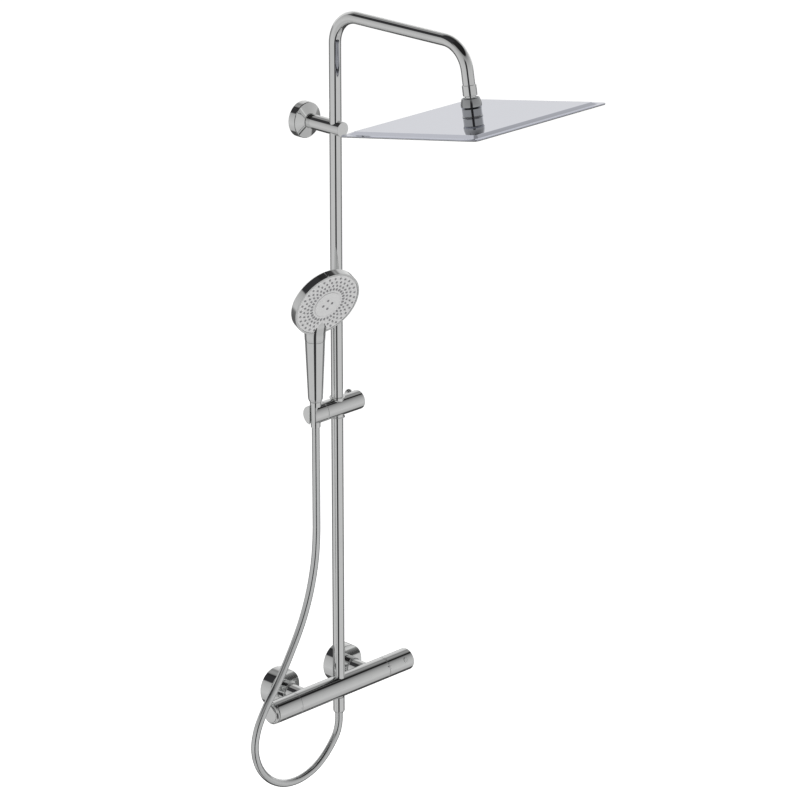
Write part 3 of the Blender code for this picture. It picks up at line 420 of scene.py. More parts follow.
# %% Build the mixer's body
NUT_WALL = 0.0018                # the union nut's wall round a leg
LEG_RADIUS = across("union_nut_left", 2) - NUT_WALL - GAP
INLET_X = middle("rosette_right").x
LEG_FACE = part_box("mixer_body")[1].y
CARTRIDGE_DEPTH = 0.042
SOCKET_FLOOR = 0.0105            # height over the bar's axis where the riser's and the outlet's sockets end
bar_centre = Vector((0, AXIS_Y, 0))
mixer = settle(turned("mixer_bar", rod(BAR_RADIUS, SEAM_LEFT, SEAM_RIGHT), corner=0.0006, at=bar_centre,
                      direction=RIGHT))
for x in (-INLET_X, INLET_X):
    leg = settle(turned("leg", rod(LEG_RADIUS, 0, LEG_FACE - AXIS_Y), corner=0.0004, steps=64,
                        at=(x, AXIS_Y, 0), direction=TO_WALL))
    combine(mixer, leg, 'UNION')
for x, way in ((SEAM_LEFT, -RIGHT), (SEAM_RIGHT, RIGHT)):
    drill(mixer, across("flow_cartridge", 2) + GAP, -CARTRIDGE_DEPTH, 0.01, 64, at=(x, AXIS_Y, 0),
          direction=way)
for radius, floor, top in ((TUBE_RADIUS + GAP, SOCKET_FLOOR, 0.03),
                           (across("outlet_spigot", 0) + GAP, -0.03, -SOCKET_FLOOR)):
    drill(mixer, radius, floor, top, 64, at=bar_centre)
show(mixer, CHROME, "mixer_body")
print("mixer body:", len(mixer.data.polygons), "faces")

# %% [markdown]
# ## The two handles
# Each handle is a cup that turns on its cartridge's shaft. The left one sets the flow and ends in a ring and
# a flat cap behind a shadow groove. The right one sets the temperature: a button in it has to be pressed to
# pass the safe limit, so it has a hole for the button.

# %% Build the handles
HANDLE_WALL, HANDLE_END = 0.0035, 0.0070
BOSS_RADIUS, BOSS_FOOT = 0.0085, 0.0060
SHAFT_RADIUS = across("flow_spindle", 2)
SHAFT_REACH = 0.030


def handle_profile(length, edge):
    """A cup with a chamfered end, and a boss inside it that is bored for the cartridge's shaft."""
    cavity, floor = BAR_RADIUS - HANDLE_WALL, length - HANDLE_END
    bore, top = SHAFT_RADIUS + GAP, SHAFT_REACH + GAP
    return [(0, length), (BAR_RADIUS - edge, length), (BAR_RADIUS - edge * 0.3, length - edge * 0.3),
            (BAR_RADIUS, length - edge), (BAR_RADIUS, GAP), (cavity, GAP), (cavity, floor),
            (BOSS_RADIUS, floor), (BOSS_RADIUS, BOSS_FOOT), (bore, BOSS_FOOT), (bore, top), (0, top)]


flow_length = SEAM_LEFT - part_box("flow_handle")[0].x
flow_at, warm_at = Vector((SEAM_LEFT, AXIS_Y, 0)), Vector((SEAM_RIGHT, AXIS_Y, 0))
show(turned("flow_grip", handle_profile(flow_length, 0.0006), corner=0.0004, at=flow_at, direction=-RIGHT),
     CHROME, "flow_handle")
mouth, groove = BAR_RADIUS - 0.00405, flow_length + GAP
ring_foot = flow_length + 0.0021
show(turned("flow_ring", [
    (mouth, ring_foot + 0.0042), (mouth + 0.0013, ring_foot + 0.0042),
    (BAR_RADIUS - 0.0006, ring_foot + 0.0024), (BAR_RADIUS - 0.0003, ring_foot + 0.0018),
    (BAR_RADIUS - 0.0003, ring_foot), (mouth + 0.0020, ring_foot), (mouth + 0.0020, groove),
    (mouth, groove)], corner=0.0002, at=flow_at, direction=-RIGHT), CHROME, "flow_end_ring")
show(turned("flow_cap", rod(mouth - GAP, groove, ring_foot + 0.0049), corner=0.0008, at=flow_at,
            direction=-RIGHT), PLATED, "flow_end_cap")

warm_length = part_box("temperature_handle")[1].x - SEAM_RIGHT
warm = settle(turned("temperature_grip", handle_profile(warm_length, 0.0014), corner=0.0004, at=warm_at,
                     direction=RIGHT))
BUTTON_LIFT = math.radians(27)
BUTTON_RADIUS = across("safety_button", 0)
button_way = Vector((0, -math.cos(BUTTON_LIFT), math.sin(BUTTON_LIFT)))
button_root = Vector((middle("safety_button").x, AXIS_Y, 0))
drill(warm, BUTTON_RADIUS + GAP, BOSS_RADIUS + 0.001, BAR_RADIUS + 0.01, at=button_root,
      direction=button_way)
show(warm, CHROME, "temperature_handle")
button_top = BAR_RADIUS + 0.0008
button_foot = BOSS_RADIUS + 0.0045
show(turned("safety_button_cap", [
    (0, button_top), (BUTTON_RADIUS * 0.5, button_top - 0.0001),
    (BUTTON_RADIUS - 0.0006, button_top - 0.0003), (BUTTON_RADIUS, button_top - 0.0010),
    (BUTTON_RADIUS, button_foot), (0, button_foot)],
    corner=0.0003, steps=48, at=button_root, direction=button_way), PLATED, "safety_button")
print("handles: %.1f and %.1f mm long" % (flow_length * 1000, warm_length * 1000))

# %% [markdown]
# ## Marks on the mixer
# A plain triangle on the body shows where the temperature handle is set, and short strokes round the edge of
# the handle are its scale. They are printed, so each is a thin plate that follows the bar's curve: its
# corners are found on the cylinder, a few hundredths of a millimetre proud.

# %% Print the marks
PRINT_PROUD, PRINT_SUNK = 0.00006, 0.00005
MARK_GREY = finish("printed_mark", (0.05, 0.05, 0.055), (0.09, 0.09, 0.09), (0.4, 0.6), bump=0.02)


def on_bar(x, angle, proud):
    """A point on the bar; angle is from level towards the room, upwards."""
    reach = BAR_RADIUS + proud
    return Vector((x, AXIS_Y - reach * math.cos(angle), reach * math.sin(angle)))


def stroke(shape, x_low, x_high, angle, width, slices=3):
    """A curved patch with thickness; it narrows to nothing at x_low if width is a pair (at low, at high)."""
    at_low, at_high = width if isinstance(width, tuple) else (width, width)
    rows = []
    for x, wide in ((x_low, at_low), (x_high, at_high)):
        half = wide / BAR_RADIUS / 2
        rows.append([(x, angle - half + 2 * half * i / slices) for i in range(slices + 1)])
    top, foot = ([[shape.verts.new(on_bar(*spot, proud)) for spot in row] for row in rows]
                 for proud in (PRINT_PROUD, -PRINT_SUNK))
    for i in range(slices):
        shape.faces.new((top[0][i], top[1][i], top[1][i + 1], top[0][i + 1]))
        shape.faces.new((foot[0][i + 1], foot[1][i + 1], foot[1][i], foot[0][i]))
    for side in (0, 1):
        for i in range(slices):
            shape.faces.new((top[side][i], top[side][i + 1], foot[side][i + 1], foot[side][i]))
    for i in (0, slices):
        shape.faces.new((top[0][i], foot[0][i], foot[1][i], top[1][i]))


def printed(name, body, strokes):
    shape = bmesh.new()
    for values in strokes:
        stroke(shape, *values)
    bmesh.ops.recalc_face_normals(shape, faces=shape.faces)
    return show(place(name, mesh_from(shape, name)), MARK_GREY, body=body)


WARM_STEP, FLOW_STEP = math.radians(14), math.radians(30)
printed("index_mark", "fixed_column",
        [(SEAM_RIGHT - 0.0042, SEAM_RIGHT - 0.0012, BUTTON_LIFT, (0.0004, 0.0032))])
printed("temperature_scale", "temperature_control",
        [(SEAM_RIGHT + 0.0015, SEAM_RIGHT + (0.0042 if i % 3 == 0 else 0.0030),
          BUTTON_LIFT + WARM_STEP * i, 0.0004) for i in range(-6, 7)])
printed("flow_scale", "flow_control",
        [(SEAM_LEFT - 0.0045, SEAM_LEFT - 0.0015, BUTTON_LIFT + FLOW_STEP * i, 0.0005)
         for i in (-2, -1, 1, 2)])
print("marks: one triangle, 13 strokes for temperature and 4 for flow")

# %% [markdown]
# ## Rosettes, nuts and the outlet
# The cover plates are deep drawn cups that hide the wall inlets. Each union nut pulls a leg of the mixer
# against its washer. Under the mixer, the hose's nut hangs on a short spigot.

# %% Build the connections
INLET_BORE = 0.0106              # the hole round the wall union in a cover plate and a union nut
PLATE_WALL, PLATE_FACE = 0.0015, 0.0018
UNION_NUT_RADIUS = 0.0170
ROSETTE_RADIUS = across("rosette_left", 2)
ROSETTE_FACE = -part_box("rosette_left")[0].y
NUT_BACK, NUT_FRONT = -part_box("union_nut_left")[1].y, -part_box("union_nut_left")[0].y
for side, x in (("left", -INLET_X), ("right", INLET_X)):
    at = (x, 0, 0)
    show(turned("cover_plate_" + side, [
        (INLET_BORE, ROSETTE_FACE), (ROSETTE_RADIUS, ROSETTE_FACE), (ROSETTE_RADIUS, 0),
        (ROSETTE_RADIUS - PLATE_WALL, 0), (ROSETTE_RADIUS - PLATE_WALL, ROSETTE_FACE - PLATE_FACE),
        (INLET_BORE, ROSETTE_FACE - PLATE_FACE)], corner=0.0010, at=at, direction=-TO_WALL),
        CHROME, "rosette_" + side)
    show(turned("inlet_nut_" + side, [
        (LEG_RADIUS + GAP, NUT_FRONT), (UNION_NUT_RADIUS, NUT_FRONT), (UNION_NUT_RADIUS, NUT_BACK),
        (INLET_BORE, NUT_BACK), (INLET_BORE, NUT_BACK + 0.0022), (LEG_RADIUS + GAP, NUT_BACK + 0.0022)],
        corner=0.0007, at=at, direction=-TO_WALL), CHROME, "union_nut_" + side)

NUT_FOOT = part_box("outlet_nut")[0].z
NUT_RADIUS = across("outlet_nut", 0)
NUT_THREAD, NUT_BORE, NUT_STEP = 0.0083, 0.0050, -0.0336
show(turned("hose_nut", [
    (NUT_THREAD, -BAR_RADIUS - GAP), (NUT_RADIUS, -BAR_RADIUS - GAP), (NUT_RADIUS, NUT_FOOT + 0.0030),
    (0.0080, NUT_FOOT), (NUT_BORE, NUT_FOOT), (NUT_BORE, NUT_STEP), (NUT_THREAD, NUT_STEP)],
    corner=0.0005, at=bar_centre), CHROME, "outlet_nut")
print("connections: 2 cover plates, 2 union nuts, 1 hose nut")

# %% [markdown]
# ## Riser and arm
# Both are the same drawn tube. A straight tube is a turned ring. The arm is a curve that goes up, bends
# through a quarter turn, runs level and bends down to its outlet, which leans 10 degrees towards the room.
# A circle swept along it, with the sweep given a wall, makes the tube hollow.

# %% Bend the arm
TUBE_WALL = 0.0010
ARM_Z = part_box("shower_arm")[1].z - TUBE_RADIUS
ARM_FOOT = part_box("shower_arm")[0].z
ARM_BEND = 0.050
OUTLET_TILT = math.radians(10)
OUTLET_STRAIGHT = 0.0220
TUBE_IN_NUT = 0.0090
ARM_REACH = 0.2975
DOWN = Vector((0, -math.sin(OUTLET_TILT), -math.cos(OUTLET_TILT)))
outlet_drop = ARM_BEND * (1 - math.sin(OUTLET_TILT)) + OUTLET_STRAIGHT * math.cos(OUTLET_TILT)
OUTLET_END = Vector((0, AXIS_Y - ARM_REACH, ARM_Z - outlet_drop))
riser_top, riser_foot = ARM_FOOT - GAP, SOCKET_FLOOR + GAP
show(turned("riser", [(TUBE_RADIUS - TUBE_WALL, riser_top), (TUBE_RADIUS, riser_top),
                      (TUBE_RADIUS, riser_foot), (TUBE_RADIUS - TUBE_WALL, riser_foot)],
            corner=0.0001, at=bar_centre), CHROME, "riser_tube")


def bend(centre_y, start, turn, steps=28):
    """Points along a bend below the arm's top line, from an angle, through a turn."""
    for step in range(steps + 1):
        angle = start + turn * step / steps
        yield Vector((0, centre_y + ARM_BEND * math.cos(angle), ARM_Z - ARM_BEND * (1 - math.sin(angle))))


def arm_line():
    sweep = math.pi / 2 - OUTLET_TILT
    far_bend = OUTLET_END.y + ARM_BEND * math.sin(sweep) + OUTLET_STRAIGHT * math.sin(OUTLET_TILT)
    points = [Vector((0, AXIS_Y, ARM_FOOT)), *bend(AXIS_Y - ARM_BEND, 0, math.pi / 2),
              *bend(far_bend, math.pi / 2, sweep)]
    return points + [points[-1] + DOWN * (OUTLET_STRAIGHT + TUBE_IN_NUT)]


def swept(name, points, radii, sides, capped=True):
    """A tube along points: rings that turn with the line. radii is one number, or one for each point."""
    shape, rings = bmesh.new(), []
    ahead = (points[1] - points[0]).normalized()
    side = ahead.orthogonal().normalized()
    for i, point in enumerate(points):
        nxt = points[min(i + 1, len(points) - 1)] - points[max(i - 1, 0)]
        side = ahead.rotation_difference(nxt.normalized()) @ side
        ahead = nxt.normalized()
        wide = radii[i] if isinstance(radii, list) else radii
        other = ahead.cross(side)
        rings.append([shape.verts.new(point + (side * math.cos(a) + other * math.sin(a)) * wide)
                      for a in (2 * math.pi * k / sides for k in range(sides))])
    bridge(shape, rings, capped)
    return place(name, mesh_from(shape, name))


arm = swept("arm", arm_line(), TUBE_RADIUS, 72, capped=False)
wall = arm.modifiers.new("wall", 'SOLIDIFY')
wall.thickness, wall.offset = TUBE_WALL, -1
show(arm, CHROME, "shower_arm")
print("arm: reach %.0f mm, outlet at %s" % (ARM_REACH * 1000, [round(x, 4) for x in OUTLET_END]))

# %% [markdown]
# ## The wall bracket
# A round flange hides the plate that is screwed to the wall. A rod stands out of it, and the riser passes
# through the rod's cross hole.

# %% Build the bracket
ROD_RADIUS = across("bracket_rod", 0)
ROD_NOSE, ROD_BACK = -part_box("bracket_rod")[0].y, -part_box("bracket_rod")[1].y
FLANGE_RADIUS = across("bracket_flange", 0)
FLANGE_FRONT = -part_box("bracket_flange")[0].y
ROD_SCREW_RADIUS, GRUB_RADIUS = 0.0020, 0.0015
post = settle(turned("bracket_post", rod(ROD_RADIUS, ROD_BACK, ROD_NOSE), corner=0.0006, at=BRACKET,
                     direction=-TO_WALL))
drill(post, TUBE_RADIUS + GAP, -0.03, 0.03, ROUND, at=(0, AXIS_Y, BRACKET.z))
drill(post, ROD_SCREW_RADIUS + GAP, 0, 0.021, 32, at=BRACKET, direction=-TO_WALL)
show(post, CHROME, "bracket_rod")
flange = settle(turned("bracket_cover", [
    (ROD_RADIUS + GAP, FLANGE_FRONT), (ROD_RADIUS + 0.0012, FLANGE_FRONT), (FLANGE_RADIUS - 0.0008, 0.0145),
    (FLANGE_RADIUS, 0.0135), (FLANGE_RADIUS, 0), (FLANGE_RADIUS - PLATE_WALL, 0),
    (FLANGE_RADIUS - PLATE_WALL, 0.0125), (ROD_RADIUS + GAP, 0.0190)], corner=0.0006,
    at=BRACKET, direction=-TO_WALL))
drill(flange, GRUB_RADIUS + GAP, 0.020, 0.035, 32, at=(0, middle("bracket_grub_screw").y, BRACKET.z),
      direction=-UP)
show(flange, CHROME, "bracket_flange")
print("bracket: rod %.1f mm long" % ((ROD_NOSE - ROD_BACK) * 1000))

# %% [markdown]
# ## Slider and cone holder
# The slider is a short bar across the riser. Two plated bushes guide it, a sprung knob releases its brake,
# and its left end tips on an axle. That end has a tapered seat for the hose's conical nut and a slot that
# the hose passes through.

# %% Build the slider
HOLDER_LEFT, HOLDER_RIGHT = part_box("cone_holder")[0].x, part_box("cone_holder")[1].x
SLIDER_LEFT, SLIDER_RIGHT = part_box("slider_body")[0].x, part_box("slider_body")[1].x
BUSH_RADIUS, BUSH_FLANGE = TUBE_RADIUS + 0.0014, TUBE_RADIUS + 0.0030
BUSH_TOP = SLIDER_RADIUS + 0.0017
KNOB_LEAN = math.radians(40)
KNOB_RADIUS = across("clamp_knob", 0)
knob_way = Vector((0, math.cos(KNOB_LEAN), math.sin(KNOB_LEAN)))
knob_at = Vector((middle("clamp_knob").x, AXIS_Y, SLIDER.z))
block = settle(turned("slider_bar", rod(SLIDER_RADIUS, SLIDER_LEFT, SLIDER_RIGHT), corner=0.0010, at=SLIDER,
                      direction=RIGHT))
drill(block, BUSH_RADIUS + GAP, -0.03, 0.03, ROUND, at=SLIDER)
drill(block, KNOB_RADIUS + GAP, 0.0060, 0.03, at=knob_at, direction=knob_way)
show(block, CHROME, "slider_body")
for name, way in (("upper", UP), ("lower", -UP)):
    show(turned("guide_bush_" + name, [
        (TUBE_RADIUS + GAP, BUSH_TOP), (BUSH_FLANGE, BUSH_TOP), (BUSH_FLANGE, SLIDER_RADIUS + GAP),
        (BUSH_RADIUS, SLIDER_RADIUS + GAP), (BUSH_RADIUS, 0.0060), (TUBE_RADIUS + GAP, 0.0060)],
        corner=0.0004, at=SLIDER, direction=way), CHROME, "slider_bush_" + name)
show(turned("release_knob", [
    (0, 0.0234), (0.0016, 0.0233), (0.0032, 0.0228), (0.0046, 0.0219), (0.0057, 0.0206),
    (KNOB_RADIUS, 0.0188), (KNOB_RADIUS, 0.0100), (0, 0.0100)], corner=0.0003, steps=64, at=knob_at,
    direction=knob_way), CHROME, "clamp_knob")

# %% Build the cone holder
CONE_X = CONE_FOOT.x
CONE_TOP_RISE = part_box("hose_cone")[1].z - SLIDER.z
CONE_FOOT_DROP = SLIDER.z - CONE_FOOT.z
CONE_TOP_RADIUS, CONE_FOOT_RADIUS = across("hose_cone", 0), 0.0080
CONE_BORE, SEAT_PLAY = 0.0046, 0.00045
SLOT_WIDTH, SLOT_LENGTH = 0.0140, 0.040
SLOT_TURN = math.radians(25)


def cone_radius(rise):
    share = (rise + CONE_FOOT_DROP) / (CONE_TOP_RISE + CONE_FOOT_DROP)
    return CONE_FOOT_RADIUS + (CONE_TOP_RADIUS - CONE_FOOT_RADIUS) * share


cup = settle(turned("holder_end", rod(SLIDER_RADIUS, HOLDER_LEFT, HOLDER_RIGHT), corner=0.0010, at=SLIDER,
                    direction=RIGHT))
reach = SLIDER_RADIUS + 0.004
seat_at = Vector((CONE_X, AXIS_Y, SLIDER.z))
combine(cup, turned("seat", [(0, reach), (cone_radius(reach) + SEAT_PLAY, reach),
                             (cone_radius(-reach) + SEAT_PLAY, -reach), (0, -reach)], corner=0, at=seat_at))
shape = bmesh.new()
bmesh.ops.create_cube(shape, size=1.0)
bmesh.ops.scale(shape, vec=(SLOT_LENGTH, SLOT_WIDTH, 2 * reach), verts=shape.verts)
slot = place("slot", mesh_from(shape, "slot"),
             at=seat_at - Vector((math.cos(SLOT_TURN), math.sin(SLOT_TURN), 0)) * SLOT_LENGTH / 2)
slot.rotation_quaternion = Matrix.Rotation(SLOT_TURN, 3, 'Z').to_quaternion()
combine(cup, slot)
show(cup, CHROME, "cone_holder")
show(turned("cone_nut", [
    (CONE_BORE, CONE_TOP_RISE), (CONE_TOP_RADIUS, CONE_TOP_RISE), (CONE_FOOT_RADIUS, -CONE_FOOT_DROP),
    (CONE_BORE, -CONE_FOOT_DROP)], corner=0.0006, at=seat_at), CHROME, "hose_cone")
print("slider: %.0f mm long with the holder" % ((SLIDER_RIGHT - HOLDER_LEFT) * 1000))

# %% [markdown]
# ## The hand shower
# The handle is a slim cone. Above its seam the neck leans into a flat round head, and runs on over the lower
# edge of the face as a tongue. The neck is a swept line of rings with its own radii, joined to the head.

# %% Build the handle, neck and head
HANDSET_YAW, HANDSET_PITCH = math.radians(9.2), math.radians(22.3)
HANDSET_FORWARD, HANDSET_RISE = 0.0363, 0.2002
HANDSET_RADIUS = 0.0617
HANDSET_DEPTH = 0.0162
HANDLE_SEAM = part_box("handset_handle")[1].z - SLIDER.z
HANDLE_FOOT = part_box("handset_handle")[0].z - SLIDER.z
HANDLE_LOW, HANDLE_HIGH = 0.0124, across("handset_handle", 0)
HANDLE_BORE = 0.0085
RIM_WIDTH = 0.0032
forward = Vector((-math.sin(HANDSET_YAW), -math.cos(HANDSET_YAW), 0))
face_way = forward * math.cos(HANDSET_PITCH) - UP * math.sin(HANDSET_PITCH)
face_at = seat_at + forward * HANDSET_FORWARD + UP * HANDSET_RISE
on_face = {"at": face_at, "direction": face_way}
show(turned("handle_shell", [
    (HANDLE_BORE, HANDLE_SEAM), (HANDLE_HIGH, HANDLE_SEAM), (HANDLE_LOW, HANDLE_FOOT + 0.0060),
    (0.0113, HANDLE_FOOT + 0.0026), (0.0098, HANDLE_FOOT), (0.0050, HANDLE_FOOT),
    (0.0050, HANDLE_FOOT + 0.010), (HANDLE_BORE, HANDLE_FOOT + 0.012)], corner=0.0005,
    at=seat_at), PLATED, "handset_handle")

# each station of the neck: forward of the handle's axis, above the slider's axis, radius
NECK = [(0.0000, HANDLE_SEAM + GAP, HANDLE_HIGH), (0.0000, 0.1330, 0.0172), (0.0003, 0.1430, 0.0176),
        (0.0016, 0.1520, 0.0178), (0.0046, 0.1610, 0.0168), (0.0086, 0.1690, 0.0138),
        (0.0128, 0.1760, 0.0105), (0.0158, 0.1803, 0.0066)]


def curved(values, fine=6):
    """More values on a smooth curve through the given vectors."""
    ends = [2 * values[0] - values[1]] + values + [2 * values[-1] - values[-2]]
    made = []
    for a, b, c, d in zip(ends, ends[1:], ends[2:], ends[3:]):
        for step in range(fine):
            t = step / fine
            made.append(0.5 * ((2 * b) + (c - a) * t + (2 * a - 5 * b + 4 * c - d) * t ** 2
                               + (3 * b - a - 3 * c + d) * t ** 3))
    return made + [values[-1]]


def neck(grow=0.0):
    stations = curved([Vector(station) for station in NECK])
    points = [seat_at + forward * station.x + UP * station.y for station in stations]
    return settle(swept("neck", points, [station.z + grow for station in stations], 72))


radius, back = HANDSET_RADIUS, -HANDSET_DEPTH
head = settle(turned("hand_head", [
    (0, 0), (radius, 0), (radius, back + 0.0030), (radius - 0.0008, back + 0.0016),
    (radius * 0.965, back + 0.0004), (radius * 0.78, back), (radius * 0.405, back - 0.0009),
    (0, back - 0.0012)], corner=0.0008, steps=128, **on_face))
combine(head, neck(), 'UNION')
FACE_SEAT, CHAMBER_WALL, CHAMBER_FLOOR = -0.0027, 0.0062, -0.0110
chamber = settle(turned("chamber", [
    (0, 0.010), (radius - RIM_WIDTH, 0.010), (radius - RIM_WIDTH, FACE_SEAT),
    (radius - CHAMBER_WALL, FACE_SEAT), (radius - CHAMBER_WALL, CHAMBER_FLOOR), (0, CHAMBER_FLOOR)],
    corner=0, steps=128, **on_face))
combine(chamber, neck())
combine(head, chamber)
show(head, PLATED, "handset_body")
print("hand shower: %.0f mm across" % (radius * 2000))

# %% [markdown]
# ## The spray face
# A satin grey plate carries four rings of thirty soft nozzles, each ring turned half a step against the
# next. The middle is smooth, with four larger jets in a diamond. Each nozzle is a small domed stud, longer
# along the radius in the inner ring, and those that the neck's tongue would cover are left out.

# %% Build the spray face
NOZZLE_RINGS = (0.50, 0.615, 0.73, 0.85)         # as shares of the head's radius
NOZZLES_IN_RING = 30
TONGUE_CLEARANCE = 0.0016
JET_CIRCLE = 0.0085
turn = facing(face_way)
tongue = [(seat_at + forward * s[0] + UP * s[1], s[2]) for s in NECK]


def clear_of_tongue(spot):
    world = face_at + turn @ Vector((spot.x, spot.y, 0))
    return min((world - point).length - wide for point, wide in tongue) > TONGUE_CLEARANCE


spots = [(Vector((math.cos(a), math.sin(a))) * share * radius, ring)
         for ring, share in enumerate(NOZZLE_RINGS)
         for a in (2 * math.pi * (i + 0.5 * (ring % 2)) / NOZZLES_IN_RING for i in range(NOZZLES_IN_RING))]
spots = [(spot, ring) for spot, ring in spots if clear_of_tongue(spot)]


def studs(name, placed, profile, sides, **where):
    """One mesh of many small turned studs; placed holds (x, y, angle, length-to-width stretch)."""
    shape = bmesh.new()
    for x, y, angle, stretch in placed:
        lean = Matrix.Rotation(angle, 2)
        rings = []
        for wide, high in profile:
            ring = []
            for k in range(sides):
                a = 2 * math.pi * k / sides
                flat = lean @ Vector((math.cos(a) * wide * stretch, math.sin(a) * wide))
                ring.append(shape.verts.new((x + flat.x, y + flat.y, high)))
            rings.append(ring)
        bridge(shape, rings)
    return place(name, mesh_from(shape, name), **where)


plate = settle(turned("spray_face", rod(radius - RIM_WIDTH - GAP, -0.0024, -0.0004), corner=0.0004,
                      steps=128, **on_face))
combine(plate, neck(0.0004))
show(plate, FACE_GREY, "handset_face")
nozzle_profile = [(0.0018, -0.0010), (0.0018, -0.0001), (0.0016, 0.0004), (0.0012, 0.0007), (0.0006, 0.0007)]
placed = [(spot.x, spot.y, math.atan2(spot.y, spot.x), 1.45 if ring == 0 else 1.15) for spot, ring in spots]
show(studs("hand_nozzles", placed, nozzle_profile, 12, **on_face), NOZZLE_GREY,
     body="handset")
button = settle(turned("spray_centre", rod(0.0240, -0.0001, 0.0006), corner=0.0003, steps=96, **on_face))
show(button, FACE_GREY, "handset_centre")
jets = [(JET_CIRCLE * math.cos(a), JET_CIRCLE * math.sin(a), a, 1.0)
        for a in (math.pi / 2 * k for k in range(4))]
jet_profile = [(0.0024, 0.0003), (0.0024, 0.0008), (0.0021, 0.0010), (0.0012, 0.0010), (0.0011, 0.0007)]
show(studs("centre_jets", jets, jet_profile, 20, **on_face), NOZZLE_GREY, body="handset")
print("spray face:", len(placed), "nozzles and", len(jets), "jets")

# %% [markdown]
# ## The rain head's joint
# A ring nut holds a hollow stem whose end is a ball. A cap and a collar close round the ball, so the head
# can tip a few degrees each way.

# %% Build the ball joint
NECK_RADIUS = TUBE_RADIUS - TUBE_WALL - 0.0004
BALL_RADIUS = NECK_RADIUS + 0.0034
BALL_DROP = 0.0320
HEAD_DROP = 0.0505
SOCKET = BALL_RADIUS + GAP
STEM_BORE, STEM_TOP, INLET_RADIUS = 0.0045, -0.0080, 0.0070
NUT_TOP, CAP_FOOT, SOCKET_END = 0.0170, 0.0367, 0.0460    # how far below the arm's outlet


def on_outlet(name, profile, look, node, corner=0.0004):
    return show(turned(name, profile, corner=corner, at=OUTLET_END, direction=DOWN), look, node)


nut = TUBE_RADIUS + 0.0015
on_outlet("ring_nut", [
    (NECK_RADIUS + GAP, NUT_TOP), (nut, NUT_TOP), (nut, 0), (TUBE_RADIUS + GAP, 0),
    (TUBE_RADIUS + GAP, TUBE_IN_NUT + GAP), (NECK_RADIUS + GAP, TUBE_IN_NUT + GAP)],
    CHROME, "arm_nut", 0.0006)
flat = 0.0111
first, last = math.acos(flat / BALL_RADIUS), math.pi - math.asin(NECK_RADIUS / BALL_RADIUS)
ball = [(STEM_BORE, BALL_DROP + flat)]
ball += [(BALL_RADIUS * math.sin(a), BALL_DROP + BALL_RADIUS * math.cos(a))
         for a in (first + (last - first) * step / 24 for step in range(25))]
on_outlet("ball_and_stem", ball + [(NECK_RADIUS, STEM_TOP), (STEM_BORE, STEM_TOP)], CHROME, "ball_stem", 0)
lip = BALL_RADIUS - 0.0008
on_outlet("ball_cap_ring", [
    (SOCKET, CAP_FOOT), (SOCKET + 0.0034, CAP_FOOT), (SOCKET + 0.0044, 0.0340), (SOCKET + 0.0044, 0.0300),
    (SOCKET + 0.0021, 0.0212), (SOCKET + 0.0015, 0.0203), (SOCKET + 0.0005, 0.0203),
    (lip, BALL_DROP - math.sqrt(SOCKET ** 2 - lip ** 2)), (SOCKET - 0.0001, BALL_DROP - 0.0015)],
    JOINT_CHROME, "ball_cap")
on_outlet("collar", [
    (INLET_RADIUS, HEAD_DROP - GAP), (SOCKET + 0.0041, HEAD_DROP - GAP),
    (SOCKET + 0.0041, HEAD_DROP - 0.0012), (SOCKET + 0.0034, HEAD_DROP - 0.0020),
    (SOCKET + 0.0034, CAP_FOOT + GAP), (SOCKET + 0.0001, CAP_FOOT + GAP), (SOCKET + 0.0001, SOCKET_END),
    (INLET_RADIUS, SOCKET_END)], JOINT_CHROME, "head_collar")
print("ball joint: ball %.1f mm across" % (BALL_RADIUS * 2000))

# %% [markdown]
# ## The rain head
# A square of polished sheet, pressed so that a raised top stands on a short slope inside a flat border. It
# is a lofted stack of rounded squares, which keeps the corners round at every level. Below it, a satin plate
# carries rows of soft nozzles.

# %% Build the head
HEAD_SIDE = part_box("head_cover")[1].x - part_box("head_cover")[0].x
HEAD_CORNER = 0.009
HEAD_RIM = 0.0013
HEAD_BORDER, HEAD_SLOPE, HEAD_RAISE = 0.009, 0.008, 0.0042
SPRAY_PLATE = 0.0010
head_at = OUTLET_END + DOWN * (HEAD_DROP + HEAD_RAISE)
head_turn = Matrix((RIGHT, (-DOWN).cross(RIGHT), -DOWN)).transposed().to_4x4()


def rounded_square(side, corner, height, arc=8):
    points = []
    for quarter in range(4):
        centre = Matrix.Rotation(math.pi / 2 * quarter, 2) @ Vector((side / 2 - corner, side / 2 - corner))
        for step in range(arc + 1):
            a = math.pi / 2 * (quarter + step / arc)
            points.append((centre.x + corner * math.cos(a), centre.y + corner * math.sin(a), height))
    return points


def in_head(piece):
    """Moves a piece from its own frame to the rain head's, whose flat border is at height 0."""
    piece.matrix_world = Matrix.Translation(head_at) @ head_turn
    return piece


def stacked(name, levels):
    """Joins rounded squares (side, corner, height) one above the other."""
    shape = bmesh.new()
    bridge(shape, [[shape.verts.new(point) for point in rounded_square(*given)] for given in levels])
    bmesh.ops.recalc_face_normals(shape, faces=shape.faces)
    return in_head(place(name, mesh_from(shape, name)))


